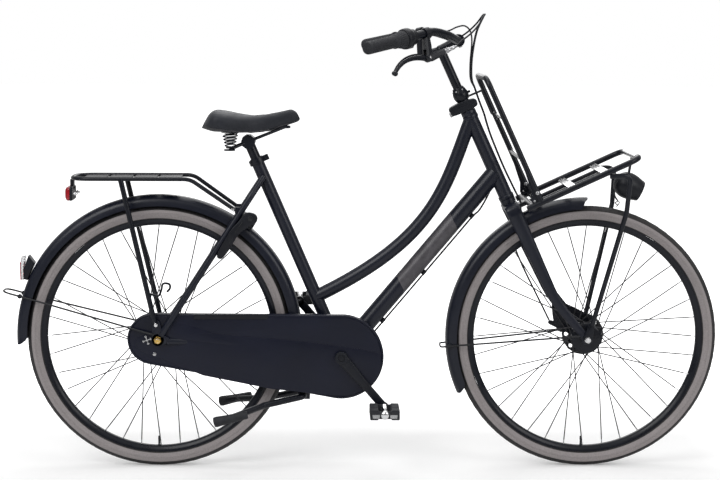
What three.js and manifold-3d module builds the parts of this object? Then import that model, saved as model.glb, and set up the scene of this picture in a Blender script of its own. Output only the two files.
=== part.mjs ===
// Dutch city bike: low-entry frame, full chain case, front carrier on the fork and rear rack.
// Millimetres. X points forward, Y to the rider's left and Z up. The tyres stand on Z = 0.

import * as THREE from "three";
import { mergeVertices } from "three/addons/utils/BufferGeometryUtils.js";
import Module from "manifold-3d";

const wasm = await Module();
wasm.setup();

// Driving dimensions

const gap = { touch: 0.3, run: 0.8, clamp: 1.5, weld: 2, overrun: 4 };

const plan = {
  headAngle: 65.3,
  rake: 40,
  seatAngle: 66.5,
  rearTyreToCrank: 133.5,
  crankToFrontTyre: 304.5,
  crankDrop: 48,
};

const wheel = {
  tyreHeight: 38,
  tyreWidth: 47,
  treadWidth: 26,
  tyreWall: 4.5,
  rimOuter: 318,
  rimDepth: 16.5,
  rimWidth: 28,
  rimWell: 7,
  rimBevel: 6,
  segments: 36,
  spokeCount: 36,
  spokeCrosses: 3,
  spokeRadius: 1.15,
  spokeStagger: 1.3,
  flangeThickness: 4.5,
  spokeRoot: 3.5,
};

const rearHub = { flange: 46, shell: 34, right: 30, left: 30, drum: 40, drumEnd: 35, bore: 6.1 };
const frontHub = {
  flange: 38,
  shell: 26,
  right: 27,
  left: 25,
  dynamo: 41,
  dynamoEnd: 40,
  drumEnd: 31,
  bore: 5.3,
};
const hubSegments = 12;

const head = {
  tubeRadius: 19,
  ringRadius: 21,
  ringHeight: 10,
  bore: 15.6,
  aboveCrown: 13,
  length: 246,
  cupRadius: 20.5,
};

const frameTube = {
  top: 17,
  down: 24,
  seat: 17.2,
  chainStay: 9,
  seatStay: 9,
  bridge: 6,
  shell: 24,
  shellHalf: 35,
  shellBore: 18.4,
};

const topTube = {
  belowTop: 9,
  seatAt: 170,
  headPull: 200,
  seatPull: 360,
  headSlope: 70,
  seatSlope: 26,
  steps: 9,
};
const downTube = { aboveBottom: 77 };
const seatTube = { length: 578, bore: 14.1, boreDepth: 330 };

const stays = {
  dropoutInner: 64,
  dropoutThickness: 6,
  dropoutRadius: 17,
  axleHole: 6.2,
  tyreHalf: 45,
  chainRoot: 24,
  chainRootBack: 12,
  chainWaistBack: 84.5,
  chainWaistHalf: 30,
  chainShoulderBack: 189.5,
  chainRearX: 105,
  chainTipX: 22,
  chainDrop: 9,
  seatRoot: 19,
  seatTopDrop: 53,
  seatShoulder: 62,
  seatShoulderHalf: 43,
  seatFoot: 12,
  rackEyeX: -4,
  rackEyeUp: 43,
  rackEyeRadius: 10,
  bridgeAboveGuard: 28.1,
  lugBack: 10,
  lugRadius: 8,
  lugThickness: 7,
};

const bracketShell = { radius: 18, bore: 9.4, lipRadius: 21, lip: 3 };

const crank = {
  length: 175,
  angle: -49.4,
  spindle: 8,
  spindleEnd: 66,
  armInner: 63,
  armThickness: 12,
  armRoot: 16,
  armMid: 11,
  bossInner: 41,
  bossRadius: 17,
  eyeRadius: 11,
  axleRadius: 6,
  squareness: 0.6,
};

const pedal = {
  half: 39,
  away: 10,
  width: 94,
  barrel: 11,
  plate: 5,
  plateHeight: 20,
  pad: 22,
  padHeight: 27,
  padCorner: 3,
  capDepth: 10,
  grooves: 2,
  grooveDepth: 2.5,
  grooveHalf: 3,
};

const drive = {
  line: 45,
  pitch: 12.7,
  ringTeeth: 38,
  cogTeeth: 19,
  toothProud: 1.2,
  toothDepth: 5,
  ringThickness: 2.4,
  ringBore: 17.4,
  driverRadius: 17,
  driverRight: 52,
  driverLeft: 33,
  windowRadius: 12,
  windowCircle: 46,
  windows: 5,
  linkWidth: 9.4,
  slotWidth: 4.6,
  linkOutside: 5,
  linkInside: 4,
  slotOutside: 2.4,
  loopSteps: 10,
};

const chainCase = {
  rearX: -14,
  rearRadius: 68,
  frontRadius: 113,
  inner: 34,
  outer: 60,
  split: 46,
  wall: 2.2,
  rimWall: 5.2,
  round: 6,
  hubHole: 26,
  bossHole: 21,
  axleHole: 12,
  shellHole: 26.5,
  stayClearance: 2.5,
  arcSteps: 9,
};

const fork = {
  steerer: 14.3,
  steererProud: 58,
  crownAboveTyre: 62,
  crownHeight: 30,
  crownHalf: 68,
  crownDepth: 40,
  crownThickness: 26,
  legHalf: 56,
  legTopWidth: 21,
  legTipWidth: 10.5,
  legTopSide: 11.5,
  kinkAt: 128,
  kinkForward: 4,
  dropThickness: 6,
  dropRadius: 15,
  axleHole: 5.4,
  dropShare: 0.12,
  sides: 10,
};

const headset = {
  capHeight: 37,
  capRadius: 21,
  capNeck: 15,
  lugReach: 27,
  lugHalf: 8,
  lugHeight: 7,
};

const steeringLock = {
  height: 42,
  back: 21,
  front: 27,
  half: 21,
  chamfer: 8,
  noseRadius: 11,
  noseBack: 46,
  noseUp: 21.7,
  keyRadius: 8.2,
  keyDepth: 9,
  keyProud: 3,
  bore: 16.2,
  slotDepth: 2,
  slotWidth: 1.6,
  slotHeight: 7,
};

const stem = {
  radius: 12.2,
  insert: 129,
  rise: 133,
  reach: 52,
  clampRadius: 17,
  clampHalf: 22,
  clampRise: 3,
  neck: 12,
};

const bar = { radius: 11.1, half: 300, sides: 10, sweep: 257, rise: 23, steps: 6 };

const grip = {
  radius: 16.5,
  length: 126,
  plainLength: 152,
  rings: 4,
  ringDepth: 1.6,
  ringShare: 0.4,
  flange: 19,
  flangeLength: 7,
};

const shifter = { radius: 18, length: 27, housing: 27, housingLength: 21, ribs: 12, ribDepth: 1.4 };

const lever = {
  clampHalf: 8,
  clampRadius: 16,
  clampShare: 0.45,
  pivotBack: 87.9,
  pivotOut: 150,
  pivotDrop: 45.3,
  bendBack: 128.9,
  bendOut: 195,
  bendDrop: 47.3,
  tipBack: 174.9,
  tipOut: 240,
  tipDrop: 82.3,
  outletBack: 44.9,
  outletOut: 137,
  outletDrop: 27.3,
  body: 12.5,
  bodyEnd: 8,
  blade: 9,
  root: 13,
  tip: 7,
  eye: 10,
  pin: 3.4,
  barrel: 5.5,
  barrelLength: 17,
  ball: 7,
};

const mudguard = {
  rearClearance: 28,
  frontClearance: 23,
  half: 31,
  shoulder: 25,
  crown: 9,
  depth: 30,
  shoulderDrop: 7,
  wall: 1.7,
  rearStart: 183,
  rearEnd: -1,
  frontStart: 204,
  frontEnd: 90,
  rearSteps: 20,
  frontSteps: 13,
  tabDrop: 13,
  tabRadius: 6,
  tabSink: 0.4,
};

const stay = {
  wire: 2.6,
  sides: 6,
  corner: 26,
  rearEyeX: -10,
  rearEyeUp: 14,
  rearWithin: 54,
  rearUp: 100,
  loopBeyond: 33,
  loopUp: 124,
  frontEyeX: -22,
  frontEyeUp: 10,
  frontWithin: 29,
  frontDown: 21,
  frontLoopBeyond: 14,
  frontLoopDown: 25,
};

const rack = {
  tube: 5.6,
  rearX: -226,
  aboveGuard: 46,
  bendX: 88,
  lugGrip: 1.3,
  corner: 38,
  slatX: -198.7,
  slatPitch: 65.8,
  slatGap: 7,
  slats: 4,
  slatThickness: 3,
  legTube: 7,
  legX: -95,
  legFootX: -6,
  legFootUp: 42,
};

const tailLamp = {
  width: 82,
  height: 38,
  depth: 15,
  bulge: 5,
  drop: 24,
  tab: 9,
  tabWidth: 26,
  corner: 8,
  squareness: 0.35,
};

const guardLamp = {
  facet: 3,
  width: 34,
  height: 62,
  depth: 13,
  corner: 5,
  rimShare: 0.6,
  squareness: 0.35,
};

const ringLock = {
  withinTyre: 16,
  inner: 48,
  outer: 69,
  thickness: 17,
  opening: 42,
  steps: 10,
  bowRadius: 58,
  bowTube: 4,
  bowStart: 44,
  bowEnd: 150,
  bowSteps: 8,
  channel: 5.6,
  channelLead: 6,
  channelEnd: 158,
  catchDepth: 22,
  cylinder: 11,
  cylinderLength: 24,
  cylinderAt: 150,
};

const seat = {
  post: 13.8,
  exposed: 54,
  postLength: 250,
  collarRadius: 22,
  collarDrop: 2,
  collarHeight: 15,
  earInner: 1.6,
  earOuter: 9,
  earReach: 33,
  boltRadius: 3.5,
  boltHalf: 14,
  boltReach: 26,
  clampDrop: 6,
  clampHalf: 29,
  clampRadius: 19,
};

const saddle = {
  behindClamp: 124.9,
  length: 265,
  half: 92,
  aboveClamp: 25.9,
  height: 60,
  squareness: 0.62,
  around: 18,
  basePlate: 2.8,
  padRadius: 22,
  padHeight: 4,
  postRadius: 10,
};

const rails = {
  wire: 3.5,
  springBack: 47.9,
  springHalf: 47,
  springDrop: 20.1,
  clampHalf: 20,
  noseHalf: 13,
  noseAhead: 98.1,
  noseTurn: 11,
  noseUp: 38.9,
  padRadius: 15,
  padThickness: 4,
  corner: 14,
};

const spring = {
  wire: 1.8,
  sides: 5,
  topRadius: 18.5,
  bottomRadius: 11,
  curls: 4,
  stepsPerCurl: 8,
  stub: 4,
  rise: 1.2,
};

const stand = {
  behindCrank: 100.5,
  belowCrank: 110.5,
  tube: 8,
  length: 245,
  folded: 194.9,
  rootHalf: 40,
  corner: 16,
  foot: 11,
  footLength: 28,
  blockHalf: 19,
  blockReach: 22,
  blockNarrow: 8,
  blockUnder: 12.5,
  bridgeHalf: 32,
  bridgeUp: 4,
  bridgeDown: 7,
};

// How far along each leg of the stand, and how far out from the middle of the bike.
const standLegShares = [
  [0.45, 0.37],
  [0.8, 0.89],
  [1, 1],
];
const standFootHalf = 135;

const carrier = {
  tube: 8,
  half: 140,
  start: 30,
  cross: 46,
  front: 352,
  belowCrown: 17,
  corner: 34,
  rod: 5.5,
  rodHalf: 40,
  rodDrop: 7.8,
  rodEnd: 262,
  slatHalf: 10,
  slatThickness: 4,
  slatRear: 164,
  slatFront: 258,
  slatHidden: 71,
  armHalf: 22,
  armThickness: 12,
  leg: 6.5,
  legStart: 262,
  legDrop: 12.2,
  legHalf: 136,
  legCorner: 22,
  legReach: 54.8,
  legRise: 4,
  legElbowBack: 7,
  legElbowDrop: 100,
  legElbowHalf: 121,
  legFootForward: 10,
  legFootUp: 40,
  legFootHalf: 69,
  eye: 12,
  eyeHole: 5.3,
  eyeThickness: 6,
};

const backrest = {
  forward: 71,
  half: 112,
  height: 356,
  corner: 40,
  tube: 7.5,
  foot: 15,
  footThickness: 4,
  barLow: 127,
  barHigh: 239,
  bar: 7,
};

const headlamp = {
  forward: 308,
  drop: 71,
  radius: 38,
  stretch: 0.95,
  barrelStart: 4,
  barrelRadius: 34,
  front: 42,
  lens: 27,
  lensDepth: 3,
  tilt: 24.6,
  strapWidth: 20,
  strapThickness: 4,
  strapDrop: 8,
  strapForward: 350.3,
};

const brake = {
  rearRadius: 50,
  rearInner: 37,
  rearOuter: 47,
  armThickness: 4.5,
  armRoot: 16,
  armTip: 9,
  armX: 150,
  armDown: 50,
  clipHalf: 6,
  clipOuter: 47,
  frontRadius: 57,
  frontInner: 33,
  frontOuter: 44,
  holes: 8,
  holeRadius: 7,
  holeCircle: 45,
  bore: 7,
  segments: 16,
  legAt: 190,
  legFace: 45.9,
  anchorBack: 89,
  anchorUp: 31,
  anchorRadius: 6,
};

const rearAxleSizes = { radius: 5.6, half: 88, nut: 11, nutHeight: 9 };
const frontAxleSizes = { radius: 4.8, half: 76, nut: 8.5, nutHeight: 8 };

const cable = {
  radius: 2.4,
  sides: 5,
  steps: 20,
  longSteps: 28,
  clipHalf: 6,
  clipDepth: 6,
  clipShares: [0.18, 0.78],
  endShares: [0.1, 0.92],
};

// The cables' way: above the bar's clamp along the steering axis, forward of it, and out from the middle.
const cableWay = [
  [34, 128, 62],
  [64, 135, 22],
  [34, 118, 8],
  [-16, 92, 8],
  [-64, 68, 8],
  [-139, 44, 8],
  [-231, 36, 8],
  [-366, 34, 8],
];
// The ends of the two cables: above the crown, forward and out.
const rearCableEnd = [[-8.2, 30, -8]];
const frontCableEnd = [
  [22, 32, 16],
  [-13, 30, 30],
  [-40, 22, 38],
  [-83, -8, 39],
  [-134, -33, 40],
];

// Sizes that follow from the driving ones

const wheelRadius = wheel.rimOuter + wheel.tyreHeight;
const rimInner = wheel.rimOuter - wheel.rimDepth;
const crankX = wheelRadius + plan.rearTyreToCrank;
const wheelbase = crankX + plan.crankToFrontTyre + wheelRadius;
const crankHeight = wheelRadius - plan.crankDrop;
const rearGuardRadius = wheelRadius + mudguard.rearClearance;
const frontGuardRadius = wheelRadius + mudguard.frontClearance;
const rackHeight = wheelRadius + rearGuardRadius + rack.aboveGuard;
const lockRingUp = wheelRadius - ringLock.withinTyre;

// Places along the steering axis, from the foot of the rake upwards.
const crownTop = wheelRadius + fork.crownAboveTyre;
const headBottom = crownTop + head.aboveCrown;
const headTop = headBottom + head.length;
const lockBottom = headTop + gap.touch;
const lockNoseAt = lockBottom + steeringLock.noseUp;
const capBottom = lockBottom + steeringLock.height + gap.run;
const capTop = capBottom + headset.capHeight;
const steererTop = headTop + fork.steererProud;
const stemBottom = steererTop - stem.insert;
const stemTop = steererTop + stem.rise;
const barClampAt = stemTop + stem.clampRise;
const carrierAt = crownTop - carrier.belowCrown;

// Places along the seat tube, from the crank's centre upwards.
const postTop = seatTube.length + seat.exposed;
const collarTop = seatTube.length - seat.collarDrop;
const seatClampAt = postTop - seat.clampDrop;

// The stand's pivot and the block that carries it.
const standX = crankX - stand.behindCrank;
const standHeight = crankHeight - stand.belowCrank;

// Finishes

const finish = (color, roughness, metalness) =>
  new THREE.MeshStandardMaterial({ color, roughness, metalness });
const paint = finish(0x20232e, 0.38, 0.15);
const casePlastic = finish(0x23252e, 0.42, 0);
const blackPlastic = finish(0x1c1d20, 0.5, 0);
const blackRubber = finish(0x191a1c, 0.8, 0);
const tyreRubber = finish(0x77716e, 0.85, 0);
const blackAlloy = finish(0x1d1e22, 0.35, 0.6);
const darkWire = finish(0x53555a, 0.4, 0.9);
const brightAlloy = finish(0xc9cbce, 0.25, 0.9);
const steel = finish(0x9a9c9f, 0.35, 0.9);
const brass = finish(0xc79a4a, 0.3, 0.9);
const cushion = finish(0x2a2b30, 0.7, 0);
const redLens = finish(0xa01418, 0.2, 0);

// Points, outlines and solids

const point = (x, y, z) => new THREE.Vector3(x, y, z);
const radians = THREE.MathUtils.degToRad;
const lerp = THREE.MathUtils.lerp;
const axisY = point(0, 1, 0);
const sides = [-1, 1];
const spread = (count) => 1 / Math.cos(Math.PI / count);
const mirrored = (points) => points.map((p) => point(p.x, -p.y, p.z));
const outline = (pairs) => new THREE.Shape(pairs.map(([x, y]) => new THREE.Vector2(x, y)));

// A closed geometry becomes a solid that can be joined and cut.
function solid(geometry) {
  const bare = geometry.clone();
  bare.deleteAttribute("normal");
  bare.deleteAttribute("uv");
  const merged = mergeVertices(bare);
  return new wasm.Manifold(
    new wasm.Mesh({
      numProp: 3,
      vertProperties: merged.attributes.position.array,
      triVerts: new Uint32Array(merged.index.array),
    }),
  );
}

const join = (...solids) => wasm.Manifold.union(solids.flat());
const cut = (whole, ...tools) => tools.flat().reduce((rest, tool) => rest.subtract(tool), whole);

function geometryOf(manifold) {
  const mesh = manifold.getMesh();
  const geometry = new THREE.BufferGeometry();
  geometry.setAttribute("position", new THREE.BufferAttribute(new Float32Array(mesh.vertProperties), 3));
  geometry.setIndex(new THREE.BufferAttribute(new Uint32Array(mesh.triVerts), 1));
  const faceted = geometry.toNonIndexed();
  faceted.computeVertexNormals();
  return faceted;
}

// A path through its own stations, so bends get points and straight runs get none.
// With a side direction, an outline's X stays along it and its Y is square to it and the path.
class StationPath extends THREE.Curve {
  constructor(stations, side = null) {
    super();
    this.stations = stations;
    this.side = side;
  }
  getPoint(t, target = new THREE.Vector3()) {
    const last = this.stations.length - 1;
    const whole = Math.min(Math.floor(t * last + 1e-6), last - 1);
    return target.lerpVectors(this.stations[whole], this.stations[whole + 1], t * last - whole);
  }
  getPointAt(u, target) {
    return this.getPoint(u, target);
  }
  getTangentAt(u, target = new THREE.Vector3()) {
    const last = this.stations.length - 1;
    const i = Math.round(u * last);
    const here = this.stations[i];
    const into = i > 0 ? here.clone().sub(this.stations[i - 1]).normalize() : point(0, 0, 0);
    const out = i < last ? this.stations[i + 1].clone().sub(here).normalize() : point(0, 0, 0);
    return target.copy(into.add(out)).normalize();
  }
  computeFrenetFrames(segments, closed) {
    if (!this.side) return super.computeFrenetFrames(segments, closed);
    const frames = { tangents: [], normals: [], binormals: [] };
    for (let i = 0; i <= segments; i += 1) {
      const tangent = this.getTangentAt(i / segments);
      const binormal = tangent.clone().cross(this.side).normalize();
      frames.tangents.push(tangent);
      frames.binormals.push(binormal);
      frames.normals.push(binormal.clone().cross(tangent).normalize());
    }
    return frames;
  }
}

// Straight runs between the corner points, with each inner corner rounded.
function rounded(points, radius, chords = 2) {
  const stations = [points[0]];
  for (let i = 1; i < points.length - 1; i += 1) {
    const into = points[i].clone().sub(points[i - 1]);
    const out = points[i + 1].clone().sub(points[i]);
    const limit = Math.min(into.length(), out.length()) * 0.49;
    const reach = Math.min(radius * Math.tan(into.angleTo(out) / 2), limit);
    const start = points[i].clone().addScaledVector(into.normalize(), -reach);
    const end = points[i].clone().addScaledVector(out.normalize(), reach);
    stations.push(...new THREE.QuadraticBezierCurve3(start, points[i], end).getPoints(chords));
  }
  stations.push(points[points.length - 1]);
  return stations;
}

// The same list of points carried on through its mirror image on the other side of the bike.
const bothSides = (points) => [...points, ...mirrored(points).reverse()];

function circle(radius, count) {
  const corners = [];
  for (let i = 0; i < count; i += 1) {
    const angle = (2 * Math.PI * (i + 0.5)) / count;
    corners.push([radius * Math.cos(angle), radius * Math.sin(angle)]);
  }
  return outline(corners);
}

function rectangle(width, height) {
  return outline([
    [-width / 2, -height / 2],
    [width / 2, -height / 2],
    [width / 2, height / 2],
    [-width / 2, height / 2],
  ]);
}

// A rectangle with its corners cut off.
function chamfered(width, height, corner) {
  const x = width / 2;
  const y = height / 2;
  return outline([
    [corner - x, -y],
    [x - corner, -y],
    [x, corner - y],
    [x, y - corner],
    [x - corner, y],
    [corner - x, y],
    [-x, y - corner],
    [-x, corner - y],
  ]);
}

function sweep(stations, shape, side = null) {
  const extrudePath = new StationPath(stations, side);
  const options = { steps: stations.length - 1, bevelEnabled: false, extrudePath };
  return solid(new THREE.ExtrudeGeometry(shape, options));
}

const tube = (stations, radius, count = 6) => sweep(stations, circle(radius, count));
const rod = (a, b, radius, count = 8) => tube([a, b], radius, count);
const hole = (a, b, radius, count = 12) => rod(a, b, radius * spread(count), count);

// A closed skin through rings of changing size: half widths along the side direction and square to it.
function loft(stations, sizes, count, side, squareness = 1) {
  const last = stations.length - 1;
  const frames = new StationPath(stations, side).computeFrenetFrames(last, false);
  const geometry = new THREE.CylinderGeometry(1, 1, 1, count, last);
  const positions = geometry.attributes.position;
  const soften = (v) => Math.sign(v) * Math.abs(v) ** squareness;
  for (let i = 0; i < positions.count; i += 1) {
    const k = Math.round((positions.getY(i) + 0.5) * last);
    const across = Math.abs(positions.getX(i)) < 1e-9 ? 0 : soften(positions.getX(i));
    const up = Math.abs(positions.getZ(i)) < 1e-9 ? 0 : soften(positions.getZ(i));
    const place = stations[k]
      .clone()
      .addScaledVector(frames.normals[k], across * sizes[k][0])
      .addScaledVector(frames.binormals[k], -up * sizes[k][1]);
    positions.setXYZ(i, place.x, place.y, place.z);
  }
  return solid(geometry);
}

function ball(centre, radius, count = 10, stretch = 1) {
  const geometry = new THREE.SphereGeometry(radius, count, Math.round(count / 2));
  geometry.scale(stretch, 1, stretch);
  geometry.translate(centre.x, centre.y, centre.z);
  return solid(geometry);
}

// A profile of [radius, offset] pairs turned about a line along Y, with one flat facing down.
function revolve(profile, segments, centre = point(0, 0, 0)) {
  const points = profile.map(([r, y]) => new THREE.Vector2(r * spread(segments), y));
  const twiceArea = points.reduce((sum, p, i) => {
    const q = points[(i + 1) % points.length];
    return sum + p.x * q.y - q.x * p.y;
  }, 0);
  if (twiceArea < 0) points.reverse();
  points.push(points[0].clone());
  const geometry = new THREE.LatheGeometry(points, segments, Math.PI / segments);
  geometry.translate(centre.x, centre.y, centre.z);
  return solid(geometry);
}

// The same profile turned about any line, with its offsets measured along the direction.
function turned(profile, segments, origin, direction) {
  const geometry = geometryOf(revolve(profile, segments));
  geometry.applyQuaternion(new THREE.Quaternion().setFromUnitVectors(axisY, direction));
  geometry.translate(origin.x, origin.y, origin.z);
  return solid(geometry);
}

// A flat outline in X and Z, with thickness from one Y to a larger one.
function plate(shape, fromY, toY, options = {}) {
  const depth = toY - fromY;
  const geometry = new THREE.ExtrudeGeometry(shape, { depth, bevelEnabled: false, ...options });
  geometry.rotateX(Math.PI / 2);
  geometry.translate(0, toY, 0);
  return solid(geometry);
}

function block(low, high) {
  const size = high.clone().sub(low);
  const geometry = new THREE.BoxGeometry(size.x, size.y, size.z);
  geometry.translate((low.x + high.x) / 2, (low.y + high.y) / 2, (low.z + high.z) / 2);
  return solid(geometry);
}

// The outline round two circles in X and Z, with straight tangents between them.
function roundTwo(left, leftRadius, right, rightRadius, steps = 6) {
  const across = right.x - left.x;
  const up = right.z - left.z;
  const lean = Math.acos((leftRadius - rightRadius) / Math.hypot(across, up));
  const base = Math.atan2(up, across);
  const corners = [];
  for (let i = 0; i <= steps; i += 1) {
    const angle = base - lean + (2 * lean * i) / steps;
    corners.push([right.x + rightRadius * Math.cos(angle), right.z + rightRadius * Math.sin(angle)]);
  }
  for (let i = 0; i <= steps; i += 1) {
    const angle = base + lean + ((2 * Math.PI - 2 * lean) * i) / steps;
    corners.push([left.x + leftRadius * Math.cos(angle), left.z + leftRadius * Math.sin(angle)]);
  }
  return outline(corners);
}

// Reference places and axes

const rearAxle = point(0, 0, wheelRadius);
const frontAxle = point(wheelbase, 0, wheelRadius);
const crankCentre = point(crankX, 0, crankHeight);

const headUp = point(-Math.cos(radians(plan.headAngle)), 0, Math.sin(radians(plan.headAngle)));
const headForward = point(headUp.z, 0, -headUp.x);
const headFoot = frontAxle.clone().addScaledVector(headForward, -plan.rake);
const seatUp = point(-Math.cos(radians(plan.seatAngle)), 0, Math.sin(radians(plan.seatAngle)));
const seatForward = point(seatUp.z, 0, -seatUp.x);

// A place given along the steering axis, forward of it and to the left.
function steer(along, forward = 0, left = 0) {
  const place = headFoot.clone().addScaledVector(headUp, along).addScaledVector(headForward, forward);
  place.y = left;
  return place;
}

function seatLine(along, forward = 0, left = 0) {
  const place = crankCentre.clone().addScaledVector(seatUp, along).addScaledVector(seatForward, forward);
  place.y = left;
  return place;
}

const atY = (place, y) => point(place.x, y, place.z);
const acrossHole = (place, fromY, toY, radius) =>
  hole(atY(place, fromY - gap.overrun), atY(place, toY + gap.overrun), radius);

const bike = new THREE.Group();

function add(name, shape, material) {
  const mesh = new THREE.Mesh(geometryOf(shape), material);
  mesh.name = name;
  bike.add(mesh);
  return mesh;
}

const addAt = (name, shape, material, place) => add(name, shape, material).position.copy(place);

// Wheels with laced spokes, rims and tyres

function polar(radius, angle, y) {
  return point(radius * Math.cos(angle), y, radius * Math.sin(angle));
}

function spokesOf(flangeRadius, rightY, leftY) {
  const perSide = wheel.spokeCount / 2;
  const holeStep = (2 * Math.PI) / perSide;
  const spokes = [];
  for (const side of sides) {
    const flangeY = side < 0 ? -rightY : leftY;
    const turn = side < 0 ? 0 : holeStep / 2;
    for (let i = 0; i < perSide; i += 1) {
      const sense = i % 2 ? -1 : 1;
      const hubAngle = i * holeStep + turn;
      const rimAngle = hubAngle + sense * wheel.spokeCrosses * holeStep;
      const stagger = side * sense * wheel.spokeStagger;
      const from = polar(flangeRadius - wheel.spokeRoot, hubAngle, flangeY + stagger);
      const to = polar(rimInner + wheel.spokeRoot, rimAngle, side * 2 * wheel.spokeStagger + stagger);
      spokes.push(rod(from, to, wheel.spokeRadius, 3));
    }
  }
  return spokes;
}

function rimSolid() {
  const half = wheel.rimWidth / 2;
  const shoulder = half - wheel.rimBevel;
  const well = wheel.rimOuter - wheel.rimWell;
  return revolve(
    [
      [rimInner, -shoulder],
      [rimInner, shoulder],
      [wheel.rimOuter, half],
      [well, shoulder],
      [well, -shoulder],
      [wheel.rimOuter, -half],
    ],
    wheel.segments,
  );
}

function tyreSolid() {
  const bead = wheel.rimOuter + gap.touch;
  const half = wheel.tyreWidth / 2;
  const tread = wheel.treadWidth / 2;
  const beadHalf = wheel.rimWidth / 2;
  const belly = (wheelRadius + bead) / 2;
  const wall = wheel.tyreWall;
  return revolve(
    [
      [wheelRadius, -tread],
      [wheelRadius, tread],
      [belly, half],
      [bead, beadHalf],
      [bead, beadHalf - wall],
      [wheelRadius - 2 * wall, tread - wall],
      [wheelRadius - 2 * wall, wall - tread],
      [bead, wall - beadHalf],
      [bead, -beadHalf],
      [belly, -half],
    ],
    wheel.segments,
  );
}

function rearHubSolid() {
  const thick = wheel.flangeThickness / 2;
  return revolve(
    [
      [rearHub.bore, -rearHub.right - thick],
      [rearHub.flange, -rearHub.right - thick],
      [rearHub.flange, thick - rearHub.right],
      [rearHub.shell, thick - rearHub.right + wheel.spokeRoot],
      [rearHub.shell, rearHub.left - thick - wheel.spokeRoot],
      [rearHub.flange, rearHub.left - thick],
      [rearHub.flange, rearHub.left + thick],
      [rearHub.drum, rearHub.drumEnd],
      [rearHub.bore, rearHub.drumEnd],
    ],
    hubSegments,
  );
}

function frontHubSolid() {
  const thick = wheel.flangeThickness / 2;
  return revolve(
    [
      [frontHub.bore, -frontHub.dynamoEnd],
      [frontHub.shell, -frontHub.dynamoEnd],
      [frontHub.dynamo, -frontHub.dynamoEnd + wheel.spokeRoot],
      [frontHub.dynamo, thick - frontHub.right],
      [frontHub.shell, thick - frontHub.right + wheel.spokeRoot],
      [frontHub.shell, frontHub.left - thick - wheel.spokeRoot],
      [frontHub.flange, frontHub.left - thick],
      [frontHub.flange, frontHub.left + thick],
      [frontHub.bore, frontHub.drumEnd],
    ],
    hubSegments,
  );
}

const rearSpokes = spokesOf(rearHub.flange, rearHub.right, rearHub.left);
const frontSpokes = spokesOf(frontHub.flange, frontHub.right, frontHub.left);
addAt("rear_wheel", join(rimSolid(), rearHubSolid(), rearSpokes), blackAlloy, rearAxle);
addAt("rear_tyre", tyreSolid(), tyreRubber, rearAxle);
addAt("front_wheel", join(rimSolid(), frontHubSolid(), frontSpokes), blackAlloy, frontAxle);
addAt("front_tyre", tyreSolid(), tyreRubber, frontAxle);

// Axles with their nuts

const dropoutOuter = stays.dropoutInner + stays.dropoutThickness;
const dropoutMid = stays.dropoutInner + stays.dropoutThickness / 2;
const forkDropOuter = fork.legHalf + fork.dropThickness / 2;
const carrierEyeOuter = forkDropOuter + gap.touch + carrier.eyeThickness;

function axleSolid({ radius, half, nut, nutHeight }, nutInner) {
  const nuts = sides.map((side) => {
    const inner = point(0, side * nutInner, 0);
    return rod(inner, point(0, side * (nutInner + nutHeight), 0), nut, 6);
  });
  return join(rod(point(0, -half, 0), point(0, half, 0), radius, 8), nuts);
}

const rearNutInner = dropoutOuter + gap.touch;
addAt("rear_axle", axleSolid(rearAxleSizes, rearNutInner), brass, rearAxle);
const frontNutInner = carrierEyeOuter + gap.touch;
addAt("front_axle", axleSolid(frontAxleSizes, frontNutInner), steel, frontAxle);

// Main frame, welded from its tubes

function topTubeStations() {
  const start = steer(headTop - topTube.belowTop);
  const end = seatLine(topTube.seatAt);
  const headLean = radians(topTube.headSlope);
  const seatLean = radians(topTube.seatSlope);
  const down = point(-Math.cos(headLean), 0, -Math.sin(headLean));
  const up = point(Math.cos(seatLean), 0, Math.sin(seatLean));
  const fromHead = start.clone().addScaledVector(down, topTube.headPull);
  const toSeat = end.clone().addScaledVector(up, topTube.seatPull);
  return new THREE.CubicBezierCurve3(start, fromHead, toSeat, end).getPoints(topTube.steps);
}

const waistX = crankX - stays.chainWaistBack;
const shoulderX = crankX - stays.chainShoulderBack;
const chainStayRun = (side) =>
  rounded(
    [
      point(crankX - stays.chainRootBack, side * stays.chainRoot, crankHeight),
      point(waistX, side * stays.chainWaistHalf, crankHeight + stays.chainDrop),
      point(shoulderX, side * stays.tyreHalf, crankHeight + 2 * stays.chainDrop),
      point(stays.chainRearX, side * stays.tyreHalf, wheelRadius - stays.chainDrop),
      point(stays.chainTipX, side * dropoutMid, wheelRadius - stays.chainDrop / 2),
    ],
    3 * frameTube.chainStay,
    2,
  );

const seatStayTop = seatLine(seatTube.length - stays.seatTopDrop);
const stayDirection = rearAxle.clone().sub(seatStayTop).normalize();
const stayForward = point(-stayDirection.z, 0, stayDirection.x);
const seatStayLength = rearAxle.distanceTo(seatStayTop);
const stayFootAt = seatStayLength - stays.seatFoot;
const bridgeAt = seatStayLength - rearGuardRadius - stays.bridgeAboveGuard;

// A place down the line of the seat stays from their top.
function onSeatStay(down, left, forward = 0) {
  const place = seatStayTop.clone().addScaledVector(stayDirection, down);
  place.addScaledVector(stayForward, forward);
  place.y = left;
  return place;
}

const stayHalfAt = (down) =>
  THREE.MathUtils.mapLinear(down, stays.seatShoulder, stayFootAt, stays.seatShoulderHalf, dropoutMid);

const seatStayRun = (side) =>
  rounded(
    [
      onSeatStay(0, side * stays.seatRoot),
      onSeatStay(stays.seatShoulder, side * stays.seatShoulderHalf),
      onSeatStay(stayFootAt, side * dropoutMid),
    ],
    2 * frameTube.seatStay,
    2,
  );

const rackEye = point(stays.rackEyeX, 0, wheelRadius + stays.rackEyeUp);

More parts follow.
